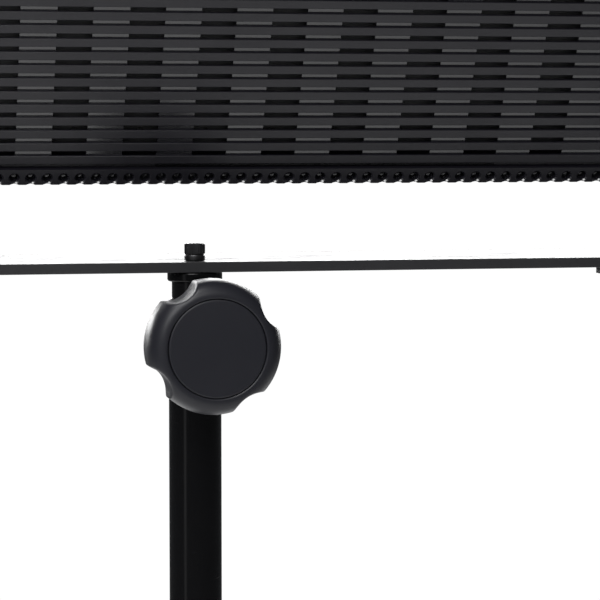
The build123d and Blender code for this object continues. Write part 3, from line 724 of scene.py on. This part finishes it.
# ---- cross plate, its bolt and the side arms ----
class STAND_OT_bolt(bpy.types.Operator):
    """Turn the knurled socket screw and its spacer"""

    bl_idname = "stand.bolt"
    bl_label = "Plate screw"

    def execute(self, context):
        low, high = corner_pair("head_bolt")
        spacer_low, spacer_high = corner_pair("head_bolt_spacer")
        head = 5.0 * MM
        shank = 3.0 * MM
        under = spacer_high.z
        top = high.z
        socket = 2.55 * MM
        knurls = sizes().knurl_count
        profile = [(0, low.z), (shank - 0.6 * MM, low.z), (shank, low.z + 0.6 * MM), (shank, under),
                   (head - 0.35 * MM, under), (head, under + 0.35 * MM), (head, top - 0.9 * MM),
                   (head - 0.18 * MM, top - 0.35 * MM), (head - 0.6 * MM, top), (socket + 0.35 * MM, top),
                   (socket, top - 0.35 * MM), (socket, top - 3.2 * MM), (0, top - 3.9 * MM)]
        screw = lathe("plate_socket_screw", profile, knurls * 4)

        def knurled(reach, angle, height):
            if reach > head - 0.1 * MM and under + 0.3 * MM < height < top - 0.5 * MM:
                return 1 - 0.045 * (0.5 - 0.5 * cos(angle * knurls))
            if 1 * MM < reach < socket + 0.1 * MM and height > max(under, top - 3.5 * MM):
                return hexagon_factor(angle, 1.12)
            return 1.0

        reshape(screw, knurled)
        upright(screw)
        hand_over(screw, "black_oxide", "head", "head_bolt", smooth_angle=30)

        rim = spacer_high.x
        foot = spacer_low.z
        profile = [(shank, foot), (rim - 0.9 * MM, foot), (rim - 0.3 * MM, foot + 0.25 * MM),
                   (rim, foot + 0.9 * MM), (rim, under - 0.75 * MM), (rim - 0.22 * MM, under - 0.28 * MM),
                   (rim - 0.7 * MM, under), (shank, under), (shank, foot)]
        spacer = upright(lathe("screw_spacer", profile, 96))
        hand_over(spacer, "black_oxide", "head", "head_bolt_spacer")
        return {"FINISHED"}


def round_corners(obj, test, radius, segments=6):
    """Bevel chosen edges of a piece in edit mode."""
    edit(obj, "EDGE")
    pick(obj, "edges", test)
    bpy.ops.mesh.bevel(offset=radius, offset_type="OFFSET", segments=segments, affect="EDGES")
    close_edit()


def along(axis):
    """A test for edges that run along an axis."""
    def test(edge):
        run = edge.verts[1].co - edge.verts[0].co
        return abs(run[axis]) > 0.999 * run.length
    return test


def pin_cutter(diameter, low, high):
    """A round bar for cutting a hole from one point to another."""
    low = Vector(low)
    run = Vector(high) - low
    return place(bar("hole_cutter", diameter / 2, 0, run.length, 40), aim(run, low))


class STAND_OT_plate(bpy.types.Operator):
    """Cut the flat cross plate, round its corners and drill it"""

    bl_idname = "stand.plate"
    bl_label = "Cross plate"

    def execute(self, context):
        plate = add_block("flat_cross_plate", PLATE_LOW, PLATE_HIGH)
        round_corners(plate, along(2), 6 * MM, 8)
        below = PLATE_LOW.z - 5 * MM
        above = PLATE_HIGH.z + 5 * MM
        holes = [pin_cutter(6 * MM, (0, POLE_Y, below), (0, POLE_Y, above))]
        for x in ARM_SCREW_PLACES:
            for side in (-1, 1):
                holes.append(pin_cutter(ARM_SCREW_HOLE, (side * x, POLE_Y, below), (side * x, POLE_Y, above)))
        line_y = POLE_Y + 10 * MM
        line = add_block("stop_line_cutter", (-0.3, line_y, PLATE_HIGH.z - 0.6 * MM),
                         (0.3, line_y + 1.2 * MM, above))
        carve(plate, holes + [line])
        soften(plate, 0.45 * MM, 3)
        hand_over(plate, "powder_coat", "head", "cross_plate")
        return {"FINISHED"}


class STAND_OT_arms(bpy.types.Operator):
    """Bend the two side arms that carry the desk"""

    bl_idname = "stand.arms"
    bl_label = "Side arms"

    def execute(self, context):
        low, high = corner_pair("side_arm_right")
        thick = 4 * MM
        half = (high.y - low.y) / 2
        foot = add_block("desk_side_arm_right", low, (high.x, high.y, low.z + thick))
        edit(foot)
        cut_lines(foot, 0, [high.x - thick])
        pick(foot, "faces", lambda f: f.normal.z > 0.9 and middle(f).x > high.x - thick)
        push((0, 0, PIVOT.z - low.z - thick))
        bpy.ops.mesh.select_all(action="SELECT")
        cut_lines(foot, 2, [PIVOT.z - 0.1 * half])
        close_edit()
        eye = bar("arm_eye", half, 0, thick)
        place(eye, aim((1, 0, 0), (high.x - thick, PIVOT.y, PIVOT.z)))
        carve(foot, [eye], "UNION")
        round_corners(foot, lambda e: along(1)(e) and middle(e).z < low.z + 0.1 * MM
                      and middle(e).x > high.x - 0.1 * MM, 4.5 * MM, 8)
        round_corners(foot, lambda e: along(2)(e) and middle(e).x < low.x + 0.1 * MM, 5 * MM, 6)
        holes = [pin_cutter(PIN_HOLE, (high.x - 9 * MM, PIVOT.y, PIVOT.z),
                            (high.x + 5 * MM, PIVOT.y, PIVOT.z))]
        for x in ARM_SCREW_PLACES:
            holes.append(pin_cutter(ARM_SCREW_HOLE, (x, POLE_Y, low.z - 5 * MM), (x, POLE_Y, low.z + 9 * MM)))
        carve(foot, holes)
        soften(foot, 0.4 * MM, 2)
        hand_over_pair(foot, "powder_coat", "head", "side_arm")
        return {"FINISHED"}


# ---- desk ----
DESK_BOTTOM = -83.3 * MM
DESK_TOP = 245.0 * MM
DESK_HALF = 243.0 * MM
CHEEK = 6.0 * MM
SHELL_HALF = DESK_HALF - CHEEK
RIDGE_FACE = -7.0 * MM
SHEET_BACK = 5.0 * MM
SHEET_FRONT = 6.5 * MM
RAIL_TOP = DESK_BOTTOM + 8.2 * MM
RAIL_FACE = -8.0 * MM
SHELL_WALL = 1.6 * MM
PLAIN_BAND = 2.5 * MM
RIVET_COUNT = 13
RIVET_HEAD = 2.5 * MM
RIVET_HEAD_DEPTH = 0.8 * MM
RIVET_SHANK = 1.5 * MM
LEDGE_RIVETS = (-210, -105, 0, 105, 210)
CHEEK_SCREWS = (-60, 60, 140, 225)
CLOSE = 1e-5
FIRST_SLOT = -204.2 * MM
LEDGE_DEPTH = 55.0 * MM
LEDGE_LIP = 14.0 * MM
LEDGE_TAB = 12.0 * MM


def groove_bands():
    """Each groove's lower and upper height, with the plain band at the foot first."""
    setting = sizes()
    first = RAIL_TOP + PLAIN_BAND
    bands = [(RAIL_TOP, first)]
    for row in range(setting.slot_rows):
        top = first + (row + 1) * setting.ridge_pitch
        bands.append((top - setting.groove_width, top))
    return bands


class STAND_OT_shell(bpy.types.Operator):
    """Mould the desk's back: ridges, grooves and slots on a thin-walled shell"""

    bl_idname = "stand.shell"
    bl_label = "Ribbed desk back"

    def execute(self, context):
        setting = sizes()
        shell = add_panel("ribbed_desk_back", (-SHELL_HALF, RIDGE_FACE, RAIL_TOP),
                          (SHELL_HALF, RIDGE_FACE, DESK_TOP))
        bands = groove_bands()
        starts = [FIRST_SLOT + i * setting.slot_pitch for i in range(setting.slot_columns)]
        slots = [(start, start + setting.slot_length) for start in starts]
        edit(shell)
        cut_lines(shell, 0, [x for slot in slots for x in slot])
        cut_lines(shell, 2, [bands[0][1]] + [z for band in bands[1:] for z in band])

        def in_groove(face):
            z = middle(face).z
            return any(low < z < high for low, high in bands)

        def in_slot(face):
            at = middle(face)
            level = at.y > RIDGE_FACE + 0.5 * setting.groove_depth and abs(face.normal.y) > 0.9
            return level and at.z > bands[0][1] and any(low < at.x < high for low, high in slots)

        pick(shell, "faces", in_groove)
        push((0, setting.groove_depth, 0))
        pick(shell, "faces", in_slot)
        bpy.ops.mesh.delete(type="FACE")

        def closes_an_end(face):
            at = middle(face)
            side = abs(face.normal.x) > 0.9 and abs(abs(at.x) - SHELL_HALF) < CLOSE
            return side or (abs(face.normal.z) > 0.9 and at.z < RAIL_TOP + CLOSE)

        pick(shell, "faces", closes_an_end)
        bpy.ops.mesh.delete(type="FACE")
        close_edit()
        floor_y = RIDGE_FACE + setting.groove_depth
        # The groove floors and the plain band take the lighter finish: a painted reflection on them.
        two_finishes(shell, "desk_plastic", "desk_polished",
                     lambda f: abs(f.normal.y) > 0.9 and abs(middle(f).y - floor_y) < CLOSE)
        modifier(shell, "SOLIDIFY", thickness=SHELL_WALL, offset=-1, use_even_offset=True)
        rim = add_block("shell_frame", (-SHELL_HALF, RIDGE_FACE + SHELL_WALL, RAIL_TOP),
                        (SHELL_HALF, SHEET_BACK, DESK_TOP))
        edit(rim)
        pick(rim, "faces", lambda f: abs(f.normal.y) > 0.9)
        bpy.ops.mesh.delete(type="FACE")
        close_edit()
        modifier(rim, "SOLIDIFY", thickness=2 * SHELL_WALL, offset=-1, use_even_offset=True)
        rim.data.materials.append(FINISHES["desk_plastic"])
        activate(shell)
        rim.select_set(True)
        bpy.ops.object.join()
        soften(shell, 0.22 * MM, 1, 60)
        place(shell, desk_matrix())
        hand_over(shell, "desk_plastic", "desk", "desk_rear_shell", smooth_angle=25)
        return {"FINISHED"}


class STAND_OT_rail(bpy.types.Operator):
    """Mould the bottom rail with its row of round pockets"""

    bl_idname = "stand.rail"
    bl_label = "Pocketed bottom rail"

    def execute(self, context):
        setting = sizes()
        rail = add_block("pocketed_rail", (-SHELL_HALF, RAIL_FACE, DESK_BOTTOM),
                         (SHELL_HALF, SHEET_BACK, RAIL_TOP))
        pitch = setting.pocket_pitch
        count = int((2 * SHELL_HALF - 6 * MM) / pitch)
        first = -(count - 1) / 2 * pitch
        deep = 4.6 * MM
        radius = setting.pocket_width / 2
        pocket_z = DESK_BOTTOM + 3.4 * MM
        flare = radius + 0.75 * MM
        pocket = lathe("pocket_cutter", [(0, -deep), (radius * 0.55, -deep), (radius * 0.9, -deep * 0.75),
                                         (radius, -deep * 0.4), (radius, -0.7 * MM), (flare, 0.05 * MM),
                                         (flare, 1 * MM), (0, 1 * MM)], 24)
        place(pocket, aim((0, -1, 0), (first, RAIL_FACE, pocket_z)))
        row_of(pocket, count, (pitch, 0, 0))
        bite = bar("edge_cutter", 4 * MM, -20 * MM, 2 * MM, 48)
        place(bite, aim((0, -1, 0), (first, RAIL_FACE, DESK_BOTTOM - 3.35 * MM)))
        row_of(bite, count, (pitch, 0, 0))
        carve(rail, [pocket, bite])
        soften(rail, 0.25 * MM, 2, 50)
        # The pocket insides take the lighter finish: a painted glint in each pocket.
        two_finishes(rail, "desk_plastic", "desk_polished",
                     lambda f: RAIL_FACE + 0.02 * MM < middle(f).y < RAIL_FACE + deep + 0.2 * MM
                     and DESK_BOTTOM + 0.9 * MM < middle(f).z < pocket_z + radius + 1 * MM
                     and abs(middle(f).x) < SHELL_HALF - 0.5 * MM)
        place(rail, desk_matrix())
        hand_over(rail, "desk_plastic", "desk", "toothed_rail", smooth_angle=30)
        return {"FINISHED"}


def rivet_cutter(low, high):
    """Countersunk holes for the row of flush rivets in the desk's face."""
    setting = sizes()
    rivet_z = RAIL_TOP + PLAIN_BAND + 2 * setting.ridge_pitch - setting.groove_width / 2
    step = (high - low - 2 * RIVET_HEAD) / (RIVET_COUNT - 1)
    back = SHEET_BACK - 1 * MM
    seat = SHEET_FRONT - RIVET_HEAD_DEPTH
    front = SHEET_FRONT + 1 * MM
    drill = lathe("rivet_cutter", [(0, back), (RIVET_SHANK, back), (RIVET_SHANK, seat), (RIVET_HEAD, seat),
                                   (RIVET_HEAD, front), (0, front)], 32)
    place(drill, aim((0, 1, 0), (low + RIVET_HEAD, 0, rivet_z)))
    row_of(drill, RIVET_COUNT, (step, 0, 0))
    return drill


class STAND_OT_sheet(bpy.types.Operator):
    """Cut the desk's smooth face sheet, with pressed beads"""

    bl_idname = "stand.sheet"
    bl_label = "Desk face sheet"

    def execute(self, context):
        sheet = add_block("desk_face_sheet", (-SHELL_HALF, SHEET_BACK, DESK_BOTTOM + LEDGE_TAB + 0.3 * MM),
                          (SHELL_HALF, SHEET_FRONT, DESK_TOP))
        edit(sheet)
        pick(sheet, "faces", lambda f: f.normal.y > 0.9)
        bpy.ops.mesh.inset(thickness=9 * MM, depth=0)
        bpy.ops.mesh.inset(thickness=1.2 * MM, depth=-0.35 * MM)
        close_edit()
        round_corners(sheet, lambda e: along(1)(e) and middle(e).z > 0, 4 * MM, 6)
        first, last = corner_pair("sheet_rivets")
        carve(sheet, [rivet_cutter(first.x, last.x)])
        soften(sheet, 0.2 * MM, 2)
        place(sheet, desk_matrix())
        hand_over(sheet, "powder_coat", "desk", "desk_front_sheet")
        return {"FINISHED"}


class STAND_OT_ledge(bpy.types.Operator):
    """Bend the sheet rest from one strip: tab, tray and lip"""

    bl_idname = "stand.ledge"
    bl_label = "Sheet rest"

    def execute(self, context):
        thick = 1.5 * MM
        front = SHEET_FRONT + LEDGE_DEPTH
        near = SHEET_BACK
        rest = add_panel("sheet_rest", (-SHELL_HALF, near, DESK_BOTTOM),
                         (SHELL_HALF, near, DESK_BOTTOM + LEDGE_TAB))
        edit(rest, "EDGE")
        pick(rest, "edges", lambda e: along(0)(e) and middle(e).z < DESK_BOTTOM + CLOSE)
        push((0, front - near, 0))
        push((0, 0, LEDGE_LIP))
        pick(rest, "edges", lambda e: along(0)(e) and middle(e).z < DESK_BOTTOM + CLOSE)
        bpy.ops.mesh.bevel(offset=2.6 * MM, segments=6, affect="EDGES")
        bpy.ops.mesh.select_all(action="SELECT")
        bpy.ops.mesh.normals_make_consistent(inside=False)
        close_edit()
        modifier(rest, "SOLIDIFY", thickness=thick, offset=rest_side(rest), use_even_offset=True)
        round_corners(rest, lambda e: along(1)(e) and middle(e).z > DESK_BOTTOM + LEDGE_LIP - 0.1 * MM
                      and middle(e).y > front - 2 * thick, 4 * MM, 5)
        rivet_z = DESK_BOTTOM + 5 * MM
        holes = [pin_cutter(3.2 * MM, (x * MM, near - 3 * MM, rivet_z), (x * MM, near + 5 * MM, rivet_z))
                 for x in LEDGE_RIVETS]
        carve(rest, holes)
        soften(rest, 0.35 * MM, 2)
        place(rest, desk_matrix())
        hand_over(rest, "powder_coat", "desk", "ledge")
        return {"FINISHED"}


def rest_side(strip):
    """The solidify offset that thickens a bent strip towards its hollow side."""
    tray = min(strip.data.polygons, key=lambda face: abs(abs(face.normal.z) - 1) + face.center.z)
    return -1 if tray.normal.z < 0 else 1


class STAND_OT_cheeks(bpy.types.Operator):
    """Mould the end cheeks and their pivot bosses"""

    bl_idname = "stand.cheeks"
    bl_label = "End cheeks"

    def execute(self, context):
        front = SHEET_FRONT + LEDGE_DEPTH
        cheek = add_block("desk_cheek_right", (SHELL_HALF, RAIL_FACE, DESK_BOTTOM),
                          (DESK_HALF, SHEET_FRONT, DESK_TOP))
        edit(cheek)
        cut_lines(cheek, 2, [DESK_BOTTOM + LEDGE_LIP])
        pick(cheek, "faces", lambda f: f.normal.y > 0.9 and middle(f).z < DESK_BOTTOM + LEDGE_LIP)
        push((0, LEDGE_DEPTH, 0))
        close_edit()
        round_corners(cheek, lambda e: along(0)(e) and (middle(e).z > DESK_TOP - 1e-4
                      or middle(e).y > front - 1e-4 or middle(e).y < RAIL_FACE + 1e-4), 2.6 * MM, 6)
        round_corners(cheek, lambda e: along(0)(e) and abs(middle(e).z - DESK_BOTTOM - LEDGE_LIP) < CLOSE
                      and abs(middle(e).y - SHEET_FRONT) < CLOSE, 5 * MM, 6)
        boss = bar("cheek_boss", 12 * MM, 0, CHEEK)
        place(boss, aim((1, 0, 0), (SHELL_HALF, 0, 0)))
        carve(cheek, [boss], "UNION")
        inside = SHELL_HALF - 5 * MM
        outside = DESK_HALF + 5 * MM
        holes = [pin_cutter(10 * MM, (inside, 0, 0), (outside, 0, 0))]
        for z in CHEEK_SCREWS:
            holes.append(pin_cutter(4 * MM, (inside, 0, z * MM), (outside, 0, z * MM)))
        carve(cheek, holes)
        soften(cheek, 0.5 * MM, 3)
        place(cheek, desk_matrix())
        hand_over_pair(cheek, "knob_plastic", "desk", "end_cheek")
        return {"FINISHED"}


class STAND_OT_pivots(bpy.types.Operator):
    """Turn the two pivot bolts with button heads and hex sockets"""

    bl_idname = "stand.pivots"
    bl_label = "Pivot bolts"

    def execute(self, context):
        low, high = corner_pair("pivot_bolt_right")
        total = high.x - low.x
        head = 6 * MM
        shank = 3 * MM
        under = total - 3.5 * MM
        socket = 2.1 * MM
        profile = [(0, 0), (shank - 0.4 * MM, 0), (shank, 0.4 * MM), (shank, under), (head - 0.3 * MM, under),
                   (head, under + 0.3 * MM), (head, under + 1.4 * MM), (head - 0.6 * MM, under + 2.4 * MM),
                   (head - 1.6 * MM, under + 3.1 * MM), (head - 3.0 * MM, total), (socket + 0.3 * MM, total),
                   (socket, total - 0.3 * MM), (socket, total - 2 * MM), (0, total - 2.2 * MM)]
        bolt = lathe("desk_pivot_bolt_right", profile, 72)

        def socketed(reach, angle, height):
            inside = 1 * MM < reach < socket + 0.1 * MM and height > under
            return hexagon_factor(angle, 1.1) if inside else 1.0

        reshape(bolt, socketed)
        place(bolt, aim((1, 0, 0), (low.x, PIVOT.y, PIVOT.z)))
        hand_over_pair(bolt, "black_oxide", "desk", "pivot_bolt")
        return {"FINISHED"}


# ---- legs ----
FOOT_REACH = 300 * MM
HINGE_REACH = 40 * MM
HINGE_Z = JOINTS["leg_rear_fold"]["pos_m"][2]
FOOT_TUBE_Z = 14 * MM


def leg_run():
    """A leg's direction, drawn along +X, and its length from hinge to foot."""
    run = Vector((FOOT_REACH - HINGE_REACH, 0, FOOT_TUBE_Z - HINGE_Z))
    return run.normalized(), run.length


def round_the_pole(angle):
    """From a leg drawn along +X from the origin to its own heading."""
    return Matrix.Translation((0, POLE_Y, 0)) @ Matrix.Rotation(radians(angle), 4, "Z")


def for_each_leg(obj, name, finish_name, node):
    """Copy a piece drawn along +X to the three legs."""
    for spot, heading in LEG_PLACES.items():
        twin = place(copy_piece(obj, f"{name}_{spot}"), round_the_pole(heading))
        hand_over(twin, finish_name, f"leg_{spot}", f"{node}_{spot}")
    bpy.data.objects.remove(obj)


class STAND_OT_legs(bpy.types.Operator):
    """Draw the leg tubes, their knuckles and the rubber feet"""

    bl_idname = "stand.legs"
    bl_label = "Folding legs"

    def execute(self, context):
        way, reach = leg_run()
        hinge = Vector((HINGE_REACH, 0, HINGE_Z))
        radius = 8 * MM
        tube = lathe("leg", tube_profile(radius, radius - 1.5 * MM, 26 * MM, reach + 4 * MM, 0.3 * MM), 64)
        place(tube, aim(way, hinge))
        for_each_leg(tube, "leg_pipe", "tube_lacquer", "leg_tube")

        half = 9.7 * MM
        end = 62 * MM
        knuckle = lathe("knuckle", [(0, 2 * MM), (half, 2 * MM), (half, 40 * MM), (half, 56 * MM),
                                    (half - 0.1 * MM, end - 0.9 * MM), (half - 0.8 * MM, end), (radius, end),
                                    (radius, 26 * MM), (0, 26 * MM)], 64)
        place(knuckle, aim(way, hinge))
        nose = bar("nose", 10.5 * MM, -half, half)
        place(nose, aim((0, 1, 0), hinge))
        heel = add_block("heel", (26.3 * MM, -half, HINGE_Z), (HINGE_REACH, half, HINGE_Z + 10 * MM))
        carve(knuckle, [nose, heel], "UNION")
        aside = Vector((0, 20 * MM, 0))
        carve(knuckle, [pin_cutter(PIN_HOLE, hinge - aside, hinge + aside),
                        pin_cutter(2 * radius, hinge + way * 26 * MM, hinge + way * 80 * MM)])
        soften(knuckle, 0.5 * MM, 2, 50)
        for_each_leg(knuckle, "leg_hinge_knuckle", "knob_plastic", "leg_knuckle")

        foot_r = 16 * MM
        tall = 27 * MM
        rings = [(0, 0), (foot_r - 3.2 * MM, 0), (foot_r - 1.4 * MM, 0.4 * MM), (foot_r - 0.3 * MM, 1.6 * MM),
                 (foot_r, 3.2 * MM)]
        for i in range(3):
            z = 5 * MM + i * 2.6 * MM
            rings += [(foot_r, z), (foot_r - 0.7 * MM, z + 0.5 * MM), (foot_r - 0.7 * MM, z + 1.1 * MM),
                      (foot_r, z + 1.6 * MM)]
        crown_start = tall - 10 * MM
        for i in range(9):
            turn = pi / 2 * i / 8
            rings.append((foot_r * 0.45 + foot_r * 0.55 * cos(turn), crown_start + 10 * MM * sin(turn)))
        rings.append((0, tall))
        foot = lathe("foot", rings, 64)
        place(foot, Matrix.Translation((FOOT_REACH, 0, 0)))
        sleeve_r = 11 * MM
        sleeve_from = reach - 34 * MM
        sleeve = lathe("sleeve", [(0, sleeve_from), (sleeve_r - 1.5 * MM, sleeve_from),
                                  (sleeve_r - 0.4 * MM, sleeve_from + 0.5 * MM),
                                  (sleeve_r, sleeve_from + 1.6 * MM),
                                  (sleeve_r, reach), (0, reach)], 64)
        place(sleeve, aim(way, hinge))
        carve(foot, [sleeve], "UNION")
        carve(foot, [pin_cutter(2 * radius, hinge + way * (reach - 40 * MM), hinge + way * (reach + 4 * MM))])
        for_each_leg(foot, "leg_rubber_foot", "foot_rubber", "rubber_foot")
        return {"FINISHED"}


# ---- pieces that keep their engineering shape ----
KEPT = {
    "cast_coat": ["hub_casting"],
    "gloss_plastic": ["hub_bottom_cap"],
    "black_oxide": ["hub_set_screws", "collar_rivet", "arm_screws", "cheek_screws", "ledge_rivets"],
    "zinc_plate": ["clamp_stud", "captive_nut", "arm_nuts", "sheet_rivets", "hinge_pin_rear",
                   "hinge_pin_front_left", "hinge_pin_front_right", "spring_washer_left",
                   "spring_washer_right"],
    "turned_brass": ["collar_thread_insert", "pivot_insert_left", "pivot_insert_right"],
    "nylon": ["clamp_pad", "guide_bush", "friction_washer_left", "friction_washer_right"],
}


class STAND_OT_fittings(bpy.types.Operator):
    """Paint the fasteners and fittings that keep their engineering shape"""

    bl_idname = "stand.fittings"
    bl_label = "Fittings"

    def execute(self, context):
        for finish_name, nodes in KEPT.items():
            for node in nodes:
                obj = frame["nodes"][node]
                obj.data.materials.clear()
                obj.data.materials.append(FINISHES[finish_name])
        return {"FINISHED"}


# ---- stage ----
def soft_box(name, location, target, size, power):
    """A rectangular studio light aimed at a point."""
    data = bpy.data.lights.new(name, "AREA")
    data.shape = "RECTANGLE"
    data.size = size[0]
    data.size_y = size[1]
    data.energy = power
    light = bpy.data.objects.new(name, data)
    bpy.context.scene.collection.objects.link(light)
    light.location = location
    light.rotation_euler = (Vector(target) - Vector(location)).to_track_quat("-Z", "Y").to_euler()
    light.visible_camera = False


def stage_floor():
    """A round pale floor that fades out at its edge."""
    deselect()
    bpy.ops.mesh.primitive_circle_add(vertices=96, radius=2.6, fill_type="NGON")
    floor = named("studio_floor")
    material = bpy.data.materials.new("studio_floor")
    material.use_nodes = True
    tree = material.node_tree
    link = tree.links.new
    shader = tree.nodes["Principled BSDF"]
    shader.inputs["Base Color"].default_value = (0.86, 0.86, 0.86, 1)
    shader.inputs["Roughness"].default_value = 0.6
    shader.inputs["Specular IOR Level"].default_value = 0.2
    coords = add_node(tree, "TexCoord")
    away = add_node(tree, "VectorMath", operation="LENGTH")
    fade = add_node(tree, "MapRange", interpolation_type="SMOOTHSTEP", From_Min=0.9, From_Max=2.4,
                    To_Min=1.0, To_Max=0.0)
    link(coords.outputs["Object"], away.inputs[0])
    link(away.outputs["Value"], fade.inputs["Value"])
    link(fade.outputs["Result"], shader.inputs["Alpha"])
    floor.data.materials.append(material)


def stage_world():
    """White to the camera, dim to everything else, so that the black parts keep their depth."""
    world = bpy.data.worlds.new("studio_world")
    bpy.context.scene.world = world
    world.use_nodes = True
    tree = world.node_tree
    link = tree.links.new
    dim = tree.nodes["Background"]
    dim.inputs["Color"].default_value = (0.92, 0.95, 1.0, 1)
    dim.inputs["Strength"].default_value = 0.08
    white = add_node(tree, "Background", Color=(1, 1, 1, 1), Strength=1.02)
    path = add_node(tree, "LightPath")
    choose = add_node(tree, "MixShader")
    link(path.outputs["Is Camera Ray"], choose.inputs["Fac"])
    link(dim.outputs["Background"], choose.inputs[1])
    link(white.outputs["Background"], choose.inputs[2])
    link(choose.outputs["Shader"], tree.nodes["World Output"].inputs["Surface"])


class STAND_OT_stage(bpy.types.Operator):
    """Set the floor, the studio lights and the camera"""

    bl_idname = "stand.stage"
    bl_label = "Studio"

    def execute(self, context):
        scene = bpy.context.scene
        scene.view_settings.view_transform = "Standard"
        scene.view_settings.look = "None"
        stage_floor()
        stage_world()
        head = Vector((0, POLE_Y, PLATE_HIGH.z))
        soft_box("top_soft_box", head + Vector((-0.45, -0.28, 1.05)), head, (0.34, 0.34), 9)
        soft_box("front_fill", head + Vector((-0.7, -1.9, 1.2)), head, (1.6, 1.2), 16)
        soft_box("front_floor", (-0.7, -1.2, 1.5), (-0.6, -0.95, 0), (0.9, 0.9), 13)
        soft_box("left_strip", head + Vector((-1.35, -0.95, 0.1)), head, (0.28, 1.3), 0.6)
        soft_box("back_card", head + Vector((0.45, 2.2, 0.5)), head + Vector((0, 0, 0.3)), (4.2, 0.9), 125)
        soft_box("rear_fill", head + Vector((-0.9, 1.5, 1.3)), head, (1.0, 1.0), 12)

        camera = bpy.data.cameras.new("stand_camera")
        viewer = bpy.data.objects.new("stand_camera", camera)
        scene.collection.objects.link(viewer)
        viewer.location = (-0.202, POLE_Y - 1.200, 0.789)
        viewer.rotation_euler = (pi / 2 - radians(4.142), 0, -radians(11.947))
        camera.sensor_width = 36
        camera.lens = 151.41
        camera.clip_end = 50
        scene.camera = viewer
        return {"FINISHED"}


class STAND_PT_panel(bpy.types.Panel):
    """The stand's pieces, in the order they are made"""

    bl_idname = "STAND_PT_panel"
    bl_label = "Music stand"
    bl_space_type = "VIEW_3D"
    bl_region_type = "UI"
    bl_category = "Stand"

    def draw(self, context):
        for step in STEPS:
            self.layout.operator(step.bl_idname)
        for group in (context.scene.stand_sizes, context.scene.stand_colours):
            for key in group.bl_rna.properties.keys():
                if key not in {"rna_type", "name"}:
                    self.layout.prop(group, key)


STEPS = [STAND_OT_stage, STAND_OT_finishes, STAND_OT_knob, STAND_OT_pole, STAND_OT_collar, STAND_OT_plug,
         STAND_OT_bolt, STAND_OT_plate, STAND_OT_arms, STAND_OT_shell, STAND_OT_rail, STAND_OT_sheet,
         STAND_OT_ledge, STAND_OT_cheeks, STAND_OT_pivots, STAND_OT_legs, STAND_OT_fittings]
CLASSES = [StandSizes, StandColours, *STEPS, STAND_PT_panel]


def register():
    for cls in CLASSES:
        bpy.utils.register_class(cls)
    bpy.types.Scene.stand_sizes = PointerProperty(type=StandSizes)
    bpy.types.Scene.stand_colours = PointerProperty(type=StandColours)


def unregister():
    del bpy.types.Scene.stand_colours
    del bpy.types.Scene.stand_sizes
    for cls in reversed(CLASSES):
        bpy.utils.unregister_class(cls)


def main():
    register()
    for step in STEPS:
        group, name = step.bl_idname.split(".")
        getattr(getattr(bpy.ops, group), name)()


if __name__ == "__main__":
    main()
